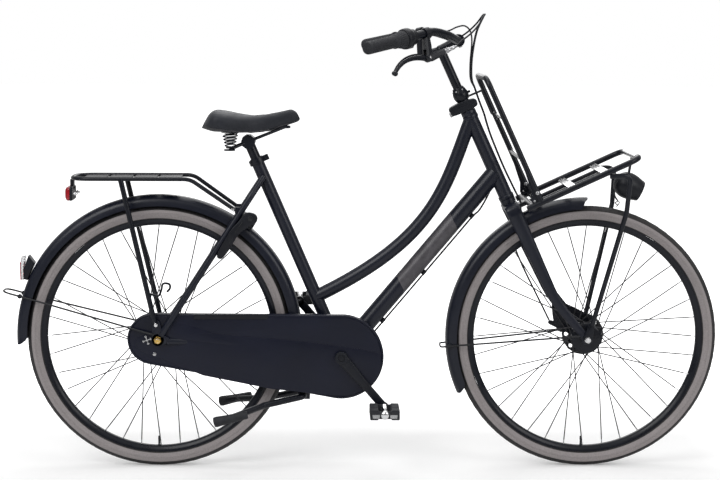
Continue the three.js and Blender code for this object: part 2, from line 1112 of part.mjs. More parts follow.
// The flat rear end: a rounded tongue round the axle that reaches up to the rack's eye.
function dropoutSolid(side) {
  const from = side < 0 ? -dropoutOuter : stays.dropoutInner;
  const to = from + stays.dropoutThickness;
  const stayEnd = point(stays.chainTipX, 0, wheelRadius);
  const upper = plate(roundTwo(rearAxle, stays.dropoutRadius, rackEye, stays.rackEyeRadius, 4), from, to);
  const lower = plate(roundTwo(rearAxle, stays.dropoutRadius, stayEnd, stays.dropoutRadius / 2, 4), from, to);
  return cut(join(upper, lower), acrossHole(rearAxle, from, to, stays.axleHole));
}

const bridgeHalf = stayHalfAt(bridgeAt);
const lugPlace = onSeatStay(bridgeAt, 0);
const lugEnd = lugPlace.x - frameTube.seatStay - stays.lugBack;

function rackLug(side) {
  const start = atY(lugPlace, side * bridgeHalf);
  const end = point(lugEnd, side * bridgeHalf, lugPlace.z);
  return sweep([start, end], rectangle(stays.lugThickness, 2 * stays.lugRadius), axisY);
}

// The plate between the chain stays, and the block under it that carries the stand.
function standMount() {
  const footReach = stand.blockNarrow + stand.tube;
  const bottom = standHeight - stand.blockUnder;
  const bridgeBottom = crankHeight - stand.bridgeDown;
  const top = crankHeight + stand.bridgeUp;
  const front = standX + stand.blockReach;
  const back = standX - stand.blockReach;
  const blockShape = outline([
    [standX - footReach, bottom],
    [standX + footReach, bottom],
    [front, bridgeBottom],
    [front, top],
    [back, top],
    [back, bridgeBottom],
  ]);
  const bridge = block(point(back, -stand.bridgeHalf, bridgeBottom), point(front, stand.bridgeHalf, top));
  return join(plate(blockShape, -stand.blockHalf, stand.blockHalf), bridge);
}

// The short post from the stay bridge down to the mudguard.
function guardPost() {
  const down = seatStayLength - rearGuardRadius - gap.touch;
  return rod(onSeatStay(bridgeAt, 0), onSeatStay(down, 0), frameTube.bridge, 8);
}

const standPivot = point(standX, 0, standHeight);

function mainFrame() {
  const height = head.length;
  const headTube = turned(
    [
      [0, 0],
      [head.ringRadius, 0],
      [head.ringRadius, head.ringHeight],
      [head.tubeRadius, head.ringHeight],
      [head.tubeRadius, height - head.ringHeight],
      [head.ringRadius, height - head.ringHeight],
      [head.ringRadius, height],
      [0, height],
    ],
    16,
    steer(headBottom),
    headUp,
  );
  const mainTubes = [
    tube(topTubeStations(), frameTube.top, 10),
    rod(steer(headBottom + downTube.aboveBottom), crankCentre, frameTube.down, 14),
    rod(crankCentre, seatLine(seatTube.length), frameTube.seat, 12),
    rod(atY(crankCentre, -frameTube.shellHalf), atY(crankCentre, frameTube.shellHalf), frameTube.shell, 16),
    rod(onSeatStay(bridgeAt, -bridgeHalf), onSeatStay(bridgeAt, bridgeHalf), frameTube.bridge, 8),
  ];
  const rear = sides.flatMap((side) => [
    tube(chainStayRun(side), frameTube.chainStay, 6),
    tube(seatStayRun(side), frameTube.seatStay, 6),
    dropoutSolid(side),
    rackLug(side),
  ]);
  const faceReach = bracketShell.lip + gap.overrun;
  const postBottom = seatLine(seatTube.length - seatTube.boreDepth);
  const bores = [
    hole(steer(headBottom - gap.overrun), steer(headTop + gap.overrun), head.bore, 16),
    hole(postBottom, seatLine(seatTube.length + gap.overrun), seatTube.bore, 14),
    acrossHole(crankCentre, -frameTube.shellHalf, frameTube.shellHalf, frameTube.shellBore),
    acrossHole(standPivot, -stand.blockHalf, stand.blockHalf, stand.tube + gap.run),
    ...sides.map((side) =>
      rod(
        atY(crankCentre, side * frameTube.shellHalf),
        atY(crankCentre, side * (frameTube.shellHalf + faceReach)),
        frameTube.shell + gap.weld,
        16,
      ),
    ),
  ];
  return cut(join(headTube, mainTubes, rear, standMount(), guardPost()), bores);
}

add("main_frame", mainFrame(), paint);

// The cable under the down tube, with its two clips

function frameCable() {
  const start = steer(headBottom + downTube.aboveBottom);
  const along = crankCentre.clone().sub(start);
  const below = point(-along.z, 0, along.x).normalize();
  const offset = frameTube.down + gap.touch + cable.clipDepth / 2;
  const onTube = (share) => start.clone().addScaledVector(along, share).addScaledVector(below, offset);
  const clips = cable.clipShares.map((share) => {
    const reach = cable.clipHalf / along.length();
    const ends = [onTube(share - reach), onTube(share + reach)];
    return sweep(ends, rectangle(2 * cable.clipHalf, cable.clipDepth), axisY);
  });
  return join(tube(cable.endShares.map(onTube), cable.radius, cable.sides), clips);
}

add("frame_cable", frameCable(), blackPlastic);

// Bottom bracket cartridge, lock block over the head tube, and its key barrel

const bracketRight = -frameTube.shellHalf - gap.touch;
const bracketProfile = [
  [bracketShell.bore, bracketRight - bracketShell.lip],
  [bracketShell.lipRadius, bracketRight - bracketShell.lip],
  [bracketShell.lipRadius, bracketRight],
  [bracketShell.radius - gap.touch, bracketRight],
  [bracketShell.radius - gap.touch, frameTube.shellHalf + bracketShell.lip],
  [bracketShell.bore, frameTube.shellHalf + bracketShell.lip],
];
add("bottom_bracket", revolve(bracketProfile, 16, crankCentre), steel);

function steeringLockSolid() {
  const { height, half, back, front, chamfer, noseBack, noseRadius } = steeringLock;
  const middle = (front - back) / 2;
  const body = sweep(
    [steer(lockBottom, middle), steer(lockBottom + height, middle)],
    chamfered(2 * half, front + back, chamfer),
    axisY,
  );
  const nose = rod(steer(lockNoseAt, gap.weld - back), steer(lockNoseAt, -noseBack), noseRadius, 12);
  const keyWell = hole(
    steer(lockNoseAt, steeringLock.keyDepth - noseBack),
    steer(lockNoseAt, -noseBack - gap.overrun),
    steeringLock.keyRadius + gap.touch,
  );
  const boreTop = lockBottom + height + gap.overrun;
  const bore = hole(steer(lockBottom - gap.overrun), steer(boreTop), steeringLock.bore, 16);
  return cut(join(body, nose), keyWell, bore);
}

add("steering_lock", steeringLockSolid(), blackPlastic);

function lockBarrelSolid() {
  const { noseBack, keyProud, keyDepth, keyRadius, slotDepth, slotWidth, slotHeight } = steeringLock;
  const face = noseBack + keyProud;
  const onNose = (forward) => steer(lockNoseAt, forward);
  const body = rod(onNose(keyDepth - noseBack - gap.touch), onNose(-face), keyRadius, 12);
  const slotRun = [onNose(slotDepth - face), onNose(-face - gap.overrun)];
  return cut(body, sweep(slotRun, rectangle(slotWidth, slotHeight), axisY));
}

add("lock_barrel", lockBarrelSolid(), steel);

// Fork, headset cap, stem and handlebar

function forkLeg(side) {
  const crownMid = crownTop - fork.crownHeight / 2;
  const axleSpot = atY(frontAxle, side * fork.legHalf);
  const kink = steer(fork.kinkAt, fork.kinkForward, side * fork.legHalf);
  const tip = axleSpot.clone().lerp(kink, fork.dropShare);
  const stations = rounded([steer(crownMid, 0, side * fork.legHalf), kink, tip], 2 * fork.crownDepth, 3);
  const share = (k) => k / (stations.length - 1);
  const sizes = stations.map((station, k) => {
    const width = lerp(fork.legTopWidth, fork.legTipWidth, share(k));
    return [lerp(fork.legTopSide, fork.dropThickness / 2, share(k)), width];
  });
  const from = side < 0 ? -forkDropOuter : forkDropOuter - fork.dropThickness;
  const to = from + fork.dropThickness;
  const drop = plate(roundTwo(frontAxle, fork.dropRadius, atY(tip, 0), fork.legTipWidth, 5), from, to);
  const leg = loft(stations, sizes, fork.sides, axisY);
  return cut(join(leg, drop), acrossHole(frontAxle, from, to, fork.axleHole));
}

// The crown: an arch across the fork, seen from the front.
function crownSolid() {
  const wing = fork.crownHalf;
  const inner = wing - fork.crownThickness;
  const arch = outline([
    [-wing, -fork.crownHeight],
    [-inner, -fork.crownHeight],
    [fork.crownHeight / 3 - inner, -fork.crownHeight / 2],
    [inner - fork.crownHeight / 3, -fork.crownHeight / 2],
    [inner, -fork.crownHeight],
    [wing, -fork.crownHeight],
    [wing, -fork.crownHeight / 3],
    [wing - fork.crownThickness / 2, 0],
    [fork.crownThickness / 2 - wing, 0],
    [-wing, -fork.crownHeight / 3],
  ]);
  const halfDepth = fork.crownDepth / 2;
  return sweep([steer(crownTop, -halfDepth), steer(crownTop, halfDepth)], arch, axisY);
}

function forkSolid() {
  const race = turned(
    [
      [0, -gap.weld],
      [head.cupRadius, 0],
      [head.cupRadius, head.aboveCrown - gap.touch],
      [0, head.aboveCrown - gap.touch],
    ],
    16,
    steer(crownTop),
    headUp,
  );
  const steerer = rod(steer(crownTop), steer(steererTop), fork.steerer, 12);
  const tabStart = steer(crownTop - mudguard.tabDrop);
  const tabDirection = tabStart.clone().sub(frontAxle).normalize();
  const tabEnd = frontAxle.clone().addScaledVector(tabDirection, frontGuardRadius - mudguard.tabSink);
  const tab = rod(tabStart, tabEnd, mudguard.tabRadius, 8);
  const boreTop = steer(steererTop + gap.overrun);
  const bore = hole(steer(stemBottom - stem.neck), boreTop, stem.radius + gap.touch);
  return cut(join(crownSolid(), race, steerer, forkLeg(-1), forkLeg(1), tab), bore);
}

add("fork", forkSolid(), paint);

function headsetCapSolid() {
  const { capRadius, capNeck, lugHalf, lugReach, lugHeight } = headset;
  const height = headset.capHeight;
  const cap = turned(
    [
      [0, 0],
      [capNeck + gap.weld, 0],
      [capRadius, height / 3],
      [capRadius, height / 2],
      [capNeck, height],
      [0, height],
    ],
    14,
    steer(capBottom),
    headUp,
  );
  const lugStart = steer(capBottom + height / 3, lugReach / 2);
  const lugTop = steer(capBottom + height / 3 + lugHeight, lugReach / 2);
  const lug = sweep([lugStart, lugTop], rectangle(2 * lugHalf, lugReach), axisY);
  const wellTop = steer(steererTop + gap.run);
  const well = hole(steer(capBottom - gap.overrun), wellTop, fork.steerer + gap.touch);
  const stemHole = hole(steer(capBottom), steer(capTop + gap.overrun), stem.radius + gap.touch);
  return cut(join(cap, lug), well, stemHole);
}

add("headset_cap", headsetCapSolid(), blackAlloy);

const barCentre = steer(barClampAt, stem.reach);

// Shares of the bar's half width, of its sweep back and of its rise, from the clamp outwards.
const barShares = [
  [0.08, 0, 0],
  [0.13, 0.035, 0.15],
  [0.25, 0.125, 0.61],
  [0.383, 0.284, 1],
  [0.5, 0.455, 0.57],
  [0.55, 0.521, 0.35],
  [1, 1, -0.87],
];

const barPlace = (side, [out, back, up]) =>
  point(barCentre.x - back * bar.sweep, side * out * bar.half, barCentre.z + up * bar.rise);

function barStations() {
  const bend = new THREE.CatmullRomCurve3(barShares.slice(0, -1).map((share) => barPlace(1, share)));
  const left = [...bend.getPoints(bar.steps), barPlace(1, barShares[barShares.length - 1])];
  return [...mirrored(left).reverse(), ...left];
}

const barSolid = (radius) => tube(barStations(), radius, bar.sides);
add("handlebar", barSolid(bar.radius), blackAlloy);

function stemSolid() {
  const quill = rod(steer(stemBottom), steer(stemTop), stem.radius, 12);
  const elbow = ball(steer(stemTop), stem.radius * spread(10), 10);
  const extension = rod(steer(stemTop), barCentre, stem.neck, 10);
  const clamp = rod(atY(barCentre, -stem.clampHalf), atY(barCentre, stem.clampHalf), stem.clampRadius, 14);
  const bore = acrossHole(barCentre, -stem.clampHalf, stem.clampHalf, bar.radius + gap.touch);
  return cut(join(quill, elbow, extension, clamp), bore);
}

add("stem", stemSolid(), blackAlloy);

// Grips and the twist shifter, placed along the straight end of the bar from its tip

const barTip = (side) => barPlace(side, barShares[barShares.length - 1]);
const gripDirection = (side) => barPlace(side, barShares[barShares.length - 2]).sub(barTip(side)).normalize();
const onGrip = (side, inwards) => barTip(side).addScaledVector(gripDirection(side), inwards);
const gripBore = (side, from, to) => hole(onGrip(side, from), onGrip(side, to), bar.radius + gap.touch, 10);

function gripSolid(side, length) {
  const profile = [
    [0, -gap.overrun],
    [grip.radius - grip.ringDepth, -gap.overrun],
  ];
  const step = (length - grip.flangeLength) / grip.rings;
  for (let i = 0; i < grip.rings; i += 1) {
    profile.push([grip.radius, (i + grip.ringShare) * step]);
    profile.push([grip.radius - grip.ringDepth, (i + 1) * step]);
  }
  profile.push([grip.flange, length - grip.flangeLength], [grip.flange, length], [0, length]);
  const body = turned(profile, 10, onGrip(side, 0), gripDirection(side));
  return cut(body, gripBore(side, -gap.touch, length + gap.overrun));
}

add("grip_right", gripSolid(-1, grip.length), blackRubber);
add("grip_left", gripSolid(1, grip.plainLength), blackRubber);

const shifterStart = grip.length + gap.run;
const shifterEnd = shifterStart + shifter.length;
const housingStart = shifterEnd + gap.run;
const housingEnd = housingStart + shifter.housingLength;

function ribbedCircle(radius, ribs, depth) {
  const corners = [];
  for (let i = 0; i < 2 * ribs; i += 1) {
    const angle = (Math.PI * i) / ribs;
    const reach = i % 2 ? radius : radius - depth;
    corners.push([reach * Math.cos(angle), reach * Math.sin(angle)]);
  }
  return outline(corners);
}

const shifterSleeve = sweep(
  [onGrip(-1, shifterStart), onGrip(-1, shifterEnd)],
  ribbedCircle(shifter.radius, shifter.ribs, shifter.ribDepth),
);
const shifterBore = hole(
  onGrip(-1, shifterStart - gap.overrun),
  onGrip(-1, shifterEnd + gap.overrun),
  bar.radius + gap.run,
);
add("twist_shifter", cut(shifterSleeve, shifterBore), blackRubber);

const housingShape = turned(
  [
    [0, 0],
    [shifter.radius, 0],
    [shifter.housing, shifter.housingLength / 3],
    [shifter.housing, shifter.housingLength - gap.weld],
    [shifter.radius, shifter.housingLength],
    [0, shifter.housingLength],
  ],
  12,
  onGrip(-1, housingStart),
  gripDirection(-1),
);
add("shifter_housing", cut(housingShape, barSolid(bar.radius + gap.touch)), blackPlastic);

// Brake lever brackets and blades, drawn on either side

// A place given back from the middle of the bar, out from the middle of the bike and down.
const underBar = (side, back, out, drop) => point(barCentre.x - back, side * out, barCentre.z - drop);
const leverPivot = (side) => underBar(side, lever.pivotBack, lever.pivotOut, lever.pivotDrop);
const leverBend = (side) => underBar(side, lever.bendBack, lever.bendOut, lever.bendDrop);
const leverTip = (side) => underBar(side, lever.tipBack, lever.tipOut, lever.tipDrop);
const leverOutlet = (side) => underBar(side, lever.outletBack, lever.outletOut, lever.outletDrop);

function leverClamp(side) {
  const from = barPlace(side, barShares[3]);
  const to = barPlace(side, barShares[4]);
  const middle = from.clone().lerp(to, lever.clampShare);
  return { middle, direction: to.clone().sub(from).normalize() };
}

// The blade turns about the line square to its own reach and to the reach up to the bar.
function leverNormal(side) {
  const alongBlade = leverBend(side).sub(leverPivot(side));
  const toBar = leverClamp(side).middle.sub(leverPivot(side));
  return alongBlade.cross(toBar).normalize();
}

function leverDisc(side, radius, half, count) {
  const centre = leverPivot(side);
  const normal = leverNormal(side);
  const start = centre.clone().addScaledVector(normal, -half);
  return rod(start, centre.addScaledVector(normal, half), radius, count);
}

function bracketSolid(side) {
  const { middle, direction } = leverClamp(side);
  const from = middle.clone().addScaledVector(direction, -lever.clampHalf);
  const to = middle.clone().addScaledVector(direction, lever.clampHalf);
  const pivot = leverPivot(side);
  const outlet = leverOutlet(side);
  const beyond = outlet.clone().sub(pivot).normalize();
  const normal = leverNormal(side);
  const arm = loft(
    [middle, middle.clone().add(pivot).divideScalar(2), pivot],
    [
      [lever.bodyEnd, lever.clampHalf + gap.weld],
      [lever.body, lever.body],
      [lever.body, lever.body],
    ],
    6,
    normal,
  );
  const mouth = loft(
    [pivot.clone().addScaledVector(beyond, -lever.bodyEnd), pivot, outlet],
    [
      [lever.body, lever.bodyEnd],
      [lever.body, lever.body],
      [lever.bodyEnd, lever.bodyEnd],
    ],
    6,
    normal,
  );
  const barrelRoot = outlet.clone().addScaledVector(beyond, -gap.weld);
  const barrelEnd = outlet.clone().addScaledVector(beyond, lever.barrelLength);
  const barrel = rod(barrelRoot, barrelEnd, lever.barrel, 6);
  const slot = leverDisc(side, 2 * lever.body, lever.blade / 2 + gap.run, 14);
  const pin = leverDisc(side, lever.pin, lever.body - gap.run, 8);
  const body = cut(join(rod(from, to, lever.clampRadius, 10), arm, mouth, barrel), slot);
  const reach = 2 * lever.clampHalf;
  const barRoom = hole(
    middle.clone().addScaledVector(direction, -reach),
    middle.clone().addScaledVector(direction, reach),
    bar.radius + gap.clamp,
    10,
  );
  return cut(join(body, pin), barRoom);
}

function bladeSolid(side) {
  const pivot = leverPivot(side);
  const tip = leverTip(side);
  const stations = new THREE.QuadraticBezierCurve3(pivot, leverBend(side), tip).getPoints(4);
  const last = stations.length - 1;
  const sizes = stations.map((station, k) => [
    lerp(lever.blade, lever.tip, k / last) / 2,
    lerp(lever.root, lever.tip, k / last) / 2,
  ]);
  const blade = loft(stations, sizes, 8, leverNormal(side));
  const eye = leverDisc(side, lever.eye, lever.blade / 2, 10);
  const bore = leverDisc(side, (lever.pin + gap.touch) * spread(8), lever.blade, 8);
  return cut(join(blade, ball(tip, lever.ball, 8), eye), bore);
}

add("brake_bracket_right", bracketSolid(-1), blackPlastic);
add("brake_bracket_left", bracketSolid(1), blackPlastic);
add("brake_lever_right", bladeSolid(-1), blackAlloy);
add("brake_lever_left", bladeSolid(1), blackAlloy);

// Mudguards, their wire loops and the lamp on the rear one

function guardSection() {
  const { half, shoulder, crown, depth, shoulderDrop, wall } = mudguard;
  const outer = [
    [half, -depth],
    [shoulder, -shoulderDrop],
    [crown, 0],
  ];
  const inner = [
    [crown, -wall],
    [shoulder - wall, -shoulderDrop - wall / 2],
    [half - wall, -depth],
  ];
  const flip = (pairs) => pairs.map(([x, y]) => [-x, y]).reverse();
  return outline([...outer, ...flip(outer), ...flip(inner), ...inner]);
}

function guardSolid(centre, radius, start, end, steps) {
  const stations = [];
  for (let i = 0; i <= steps; i += 1) {
    const angle = radians(lerp(start, end, i / steps));
    stations.push(centre.clone().add(polar(radius, angle, 0)));
  }
  return sweep(stations, guardSection(), axisY);
}

add(
  "rear_mudguard",
  guardSolid(rearAxle, rearGuardRadius, mudguard.rearStart, mudguard.rearEnd, mudguard.rearSteps),
  paint,
);
add(
  "front_mudguard",
  guardSolid(frontAxle, frontGuardRadius, mudguard.frontStart, mudguard.frontEnd, mudguard.frontSteps),
  paint,
);

const wireBeside = mudguard.half + stay.wire + gap.touch;
const rearStayHalf = dropoutOuter + stay.wire + 2 * gap.touch;
const rearStayRun = [
  point(stay.rearEyeX, -rearStayHalf, wheelRadius + stay.rearEyeUp),
  point(stay.rearWithin - rearGuardRadius, -wireBeside, wheelRadius + stay.rearUp),
  point(-rearGuardRadius - stay.loopBeyond, -wireBeside, wheelRadius + stay.loopUp),
];
const rearStay = tube(rounded(bothSides(rearStayRun), stay.corner), stay.wire, stay.sides);
add("rear_mudguard_stay", rearStay, blackPlastic);

const frontStayHalf = forkDropOuter + 2 * stay.wire + gap.touch;
const frontStayRun = [
  frontAxle.clone().add(point(stay.frontEyeX, -frontStayHalf, stay.frontEyeUp)),
  frontAxle.clone().add(point(stay.frontWithin - frontGuardRadius, -wireBeside, -stay.frontDown)),
  frontAxle.clone().add(point(-frontGuardRadius - stay.frontLoopBeyond, -wireBeside, -stay.frontLoopDown)),
];
const frontStay = tube(rounded(bothSides(frontStayRun), stay.corner / 2), stay.wire, stay.sides);
add("front_mudguard_stay", frontStay, darkWire);

function guardLampSolid() {
  const step = (mudguard.rearStart - mudguard.rearEnd) / mudguard.rearSteps;
  const angle = radians(mudguard.rearStart - (guardLamp.facet + 0.5) * step);
  const facet = rearGuardRadius * Math.cos(radians(step / 2)) + gap.touch;
  const from = rearAxle.clone().add(polar(facet, angle, 0));
  const to = rearAxle.clone().add(polar(facet + guardLamp.depth, angle, 0));
  const body = [from, from.clone().lerp(to, guardLamp.rimShare), to];
  const halves = [guardLamp.width / 2, guardLamp.height / 2];
  const front = halves.map((half) => half - guardLamp.corner);
  return loft(body, [halves, halves, front], 8, axisY, guardLamp.squareness);
}

add("mudguard_lamp", guardLampSolid(), redLens);

// Rear rack and its lamp

const lugFace = bridgeHalf + stays.lugThickness / 2 + gap.touch;
const rackHalf = rack.tube + dropoutOuter - stays.dropoutThickness;
const legFootHalf = dropoutOuter + rack.legTube + gap.touch;

function rackSolid() {
  const side = [
    point(lugEnd + rack.lugGrip, -lugFace - rack.tube, lugPlace.z),
    point(rack.bendX, -rackHalf, rackHeight),
    point(rack.rearX, -rackHalf, rackHeight),
  ];
  const hoop = tube(rounded(bothSides(side), rack.corner), rack.tube);
  const slats = [];
  for (let i = 0; i < rack.slats; i += 1) {
    const from = rack.slatX + i * rack.slatPitch + rack.slatGap / 2;
    const to = rack.slatX + (i + 1) * rack.slatPitch - rack.slatGap / 2;
    slats.push(
      block(
        point(from, -rackHalf, rackHeight - rack.slatThickness / 2),
        point(to, rackHalf, rackHeight + rack.slatThickness / 2),
      ),
    );
  }
  const legs = sides.map((y) => {
    const foot = point(rack.legFootX, y * legFootHalf, wheelRadius + rack.legFootUp);
    return rod(point(rack.legX, y * rackHalf, rackHeight), foot, rack.legTube, 7);
  });
  return join(hoop, slats, legs);
}

add("rear_rack", rackSolid(), blackAlloy);

function tailLampSolid() {
  const { width, height, depth, bulge, drop, tab, tabWidth, corner } = tailLamp;
  const back = rack.rearX;
  const middle = rackHeight - drop - height / 2;
  const stations = [back, back - depth, back - depth - bulge].map((x) => point(x, 0, middle));
  const sizes = [
    [width / 2, height / 2],
    [width / 2, height / 2],
    [width / 2 - corner, height / 2 - corner],
  ];
  const underTube = rackHeight - rack.tube - gap.touch;
  const strap = block(
    point(back - tab, -tabWidth / 2, middle + height / 2 - corner),
    point(back, tabWidth / 2, underTube),
  );
  return join(loft(stations, sizes, 12, axisY, tailLamp.squareness), strap);
}

add("tail_lamp", tailLampSolid(), redLens);

// Chain drive: sprocket, chainring and the chain loop whose groove their teeth run in

const pitchRadius = (teeth) => drive.pitch / (2 * Math.sin(Math.PI / teeth));

function toothedShape(teeth) {
  const pitch = pitchRadius(teeth);
  const tip = pitch + drive.toothProud;
  const root = tip - drive.toothDepth;
  const corners = [];
  for (let i = 0; i < 2 * teeth; i += 1) {
    const angle = (Math.PI * i) / teeth;
    const reach = i % 2 ? tip : root;
    corners.push([reach * Math.cos(angle), reach * Math.sin(angle)]);
  }
  return outline(corners);
}

function ringHole(radius, count, x = 0, z = 0) {
  const corners = [];
  for (let i = 0; i < count; i += 1) {
    const angle = (-2 * Math.PI * (i + 0.5)) / count;
    corners.push(new THREE.Vector2(x + radius * Math.cos(angle), z + radius * Math.sin(angle)));
  }
  return new THREE.Path(corners);
}

function chainringSolid() {
  const shape = toothedShape(drive.ringTeeth);
  shape.holes.push(ringHole(drive.ringBore * spread(12), 12));
  for (let i = 0; i < drive.windows; i += 1) {
    const angle = (2 * Math.PI * i) / drive.windows;
    const x = drive.windowCircle * Math.cos(angle);
    const z = drive.windowCircle * Math.sin(angle);
    shape.holes.push(ringHole(drive.windowRadius, 6, x, z));
  }
  const half = drive.ringThickness / 2;
  return plate(shape, -drive.line - half, half - drive.line);
}

function sprocketSolid() {
  const half = drive.ringThickness / 2;
  const sleeve = revolve(
    [
      [0, -drive.driverRight],
      [drive.driverRadius, -drive.driverRight],
      [drive.driverRadius, -drive.driverLeft],
      [0, -drive.driverLeft],
    ],
    12,
  );
  const bore = acrossHole(point(0, 0, 0), -drive.driverRight, -drive.driverLeft, rearHub.bore);
  return cut(join(plate(toothedShape(drive.cogTeeth), -drive.line - half, half - drive.line), sleeve), bore);
}

add("chainring", chainringSolid(), steel).position.set(crankCentre.x, 0, crankCentre.z);
add("rear_sprocket", sprocketSolid(), steel).position.set(rearAxle.x, 0, rearAxle.z);

function chainLoop(offset) {
  const rear = pitchRadius(drive.cogTeeth) + offset;
  const front = pitchRadius(drive.ringTeeth) + offset;
  return roundTwo(rearAxle, rear, crankCentre, front, drive.loopSteps);
}

function chainSolid() {
  const right = -drive.line - drive.linkWidth / 2;
  const left = -drive.line + drive.linkWidth / 2;
  const slotRight = -drive.line - drive.slotWidth / 2;
  const slotLeft = -drive.line + drive.slotWidth / 2;
  const loop = plate(chainLoop(drive.linkOutside), right, left);
  const inside = plate(chainLoop(-drive.linkInside), right - gap.overrun, left + gap.overrun);
  return cut(loop, inside, plate(chainLoop(drive.slotOutside), slotRight, slotLeft));
}

add("chain", chainSolid(), steel);

// Chain case in two shells that close round the chain

const caseRear = point(chainCase.rearX, 0, wheelRadius);
function caseShape(inset) {
  const rear = chainCase.rearRadius - inset;
  const front = chainCase.frontRadius - inset;
  return roundTwo(caseRear, rear, crankCentre, front, chainCase.arcSteps);
}

// Copies of the stays and the flat end, grown by the clearance the case keeps from them.
function stayRoom() {
  const grow = chainCase.stayClearance;
  const side = -1;
  return [
    tube(chainStayRun(side), frameTube.chainStay + grow, 6),
    tube(seatStayRun(side), frameTube.seatStay + grow, 6),
  ];
}

function caseShell(wallAt, meetAt, holes) {
  const outward = Math.sign(wallAt - meetAt);
  const round = chainCase.round;
  const low = Math.min(wallAt, meetAt);
  const high = Math.max(wallAt, meetAt);
  const bevel = {
    bevelEnabled: true,
    bevelThickness: round,
    bevelSize: round,
    bevelOffset: -round,
    bevelSegments: 1,
  };
  const farLow = outward < 0 ? low + round : low - round;
  const farHigh = outward < 0 ? high + round : high - round;
  const body = plate(caseShape(0), farLow, farHigh, bevel);
  const beyond = outward < 0 ? [high, high + 3 * round] : [low - 3 * round, low];
  const cavityFrom = outward < 0 ? low + chainCase.wall : low - gap.overrun;
  const cavityTo = outward < 0 ? high + gap.overrun : high - chainCase.wall;
  return cut(
    body,
    plate(caseShape(-round), beyond[0], beyond[1]),
    plate(caseShape(chainCase.rimWall), cavityFrom, cavityTo),
    holes,
  );
}

const outerShell = caseShell(-chainCase.outer, -chainCase.split - gap.touch / 2, [
  acrossHole(crankCentre, -chainCase.outer, -chainCase.split, chainCase.bossHole),
  acrossHole(rearAxle, -chainCase.outer, -chainCase.split, chainCase.axleHole),
  stayRoom(),
].flat());
add("chain_case_outer", outerShell, casePlastic);

const innerShell = caseShell(-chainCase.inner, -chainCase.split + gap.touch / 2, [
  acrossHole(crankCentre, -chainCase.split, -chainCase.inner, chainCase.shellHole),
  acrossHole(rearAxle, -chainCase.split, -chainCase.inner, chainCase.hubHole),
  stayRoom(),
].flat());
add("chain_case_inner", innerShell, casePlastic);

// Cranks and pedals: the right crank points forward and down, the left one the other way

const crankEnd = (side) => {
  const angle = radians(crank.angle) + (side < 0 ? 0 : Math.PI);
  return crankCentre.clone().add(polar(crank.length, angle, 0));
};

function crankArm(side) {
  const inner = side * crank.armInner;
  const mid = inner + (side * crank.armThickness) / 2;
  const outer = inner + side * crank.armThickness;
  const from = atY(crankCentre, mid);
  const to = atY(crankEnd(side), mid);
  const half = crank.armThickness / 2;
  const arm = loft(
    [from, from.clone().add(to).divideScalar(2), to],
    [
      [half, crank.armRoot],
      [half, crank.armMid],
      [half, crank.eyeRadius],
    ],
    8,
    axisY,
    crank.squareness,
  );
  const bossRoot = side * (side < 0 ? crank.bossInner : crank.armInner);
  const bossFace = outer + side * gap.weld;
  const boss = rod(atY(crankCentre, bossRoot), atY(crankCentre, bossFace), crank.bossRadius, 14);
  const atEnd = (y) => atY(crankEnd(side), y);
  const eye = rod(atEnd(inner), atEnd(outer), crank.eyeRadius + gap.weld, 12);
  const pedalAxle = rod(atEnd(mid), atEnd(side * pedalTip), crank.axleRadius, 8);
  return join(arm, boss, eye, pedalAxle);
}

const pedalInner = crank.armInner + crank.armThickness + pedal.away;
const pedalOuter = pedalInner + pedal.width;
const pedalTip = pedalOuter - pedal.capDepth;

const spindleTop = atY(crankCentre, crank.armInner + gap.weld);
const spindle = rod(atY(crankCentre, -crank.spindleEnd), spindleTop, crank.spindle, 10);
const spindleRoom = hole(
  atY(crankCentre, -crank.spindleEnd - gap.touch),
  atY(crankCentre, 0),
  crank.spindle + gap.touch,
  10,
);
add("crank_right", cut(crankArm(-1), spindleRoom), blackAlloy);
add("crank_left", join(crankArm(1), spindle), blackAlloy);

function pedalSolid(side) {
  const centre = crankEnd(side);
  const inner = pedalInner;
  const outer = pedalOuter;
  const at = (x, y, z) => point(centre.x + x, side * y, centre.z + z);
  const slab = (x0, x1, y0, y1, halfHeight) => {
    const low = at(x0, y0, -halfHeight);
    const high = at(x1, y1, halfHeight);
    const [right, left] = [low.y, high.y].sort((a, b) => a - b);
    return block(point(low.x, right, low.z), point(high.x, left, high.z));
  };
  const { half, plateHeight, padHeight } = pedal;
  const pieces = [
    rod(at(0, inner, 0), at(0, outer, 0), pedal.barrel, 10),
    slab(-half + pedal.plate, half - pedal.plate, inner, inner + pedal.plate, plateHeight / 2),
    slab(-half + pedal.plate, half - pedal.plate, outer - pedal.plate, outer, plateHeight / 2),
  ];
  const grooves = [];
  for (const end of sides) {
    const middle = end * (half - pedal.pad / 2);
    const from = at(middle, inner + gap.weld, 0);
    const to = at(middle, outer - gap.weld, 0);
    pieces.push(sweep([from, to], chamfered(padHeight, pedal.pad, pedal.padCorner), point(0, 0, 1)));
    for (let i = 0; i < pedal.grooves; i += 1) {
      const y = lerp(inner, outer, (i + 1) / (pedal.grooves + 1));
      for (const face of sides) {
        const z = (face * padHeight) / 2;
        const reach = pedal.pad / 2 + gap.weld;
        const low = at(middle - reach, y - pedal.grooveHalf, z - pedal.grooveDepth);
        const high = at(middle + reach, y + pedal.grooveHalf, z + pedal.grooveDepth);
        const [right, left] = [low.y, high.y].sort((a, b) => a - b);
        grooves.push(block(point(low.x, right, low.z), point(high.x, left, high.z)));
      }
    }
  }
  const boreEnds = [at(0, inner - gap.overrun, 0), at(0, pedalTip + gap.run, 0)];
  const bore = hole(...boreEnds, crank.axleRadius + gap.run, 10);
  return cut(join(pieces), grooves, bore);
}

add("pedal_right", pedalSolid(-1), blackRubber);
add("pedal_left", pedalSolid(1), blackRubber);

// Ring lock in front of the seat stays; its bow slides round in a channel

const lockForward = frameTube.seatStay + gap.touch + ringLock.thickness / 2;

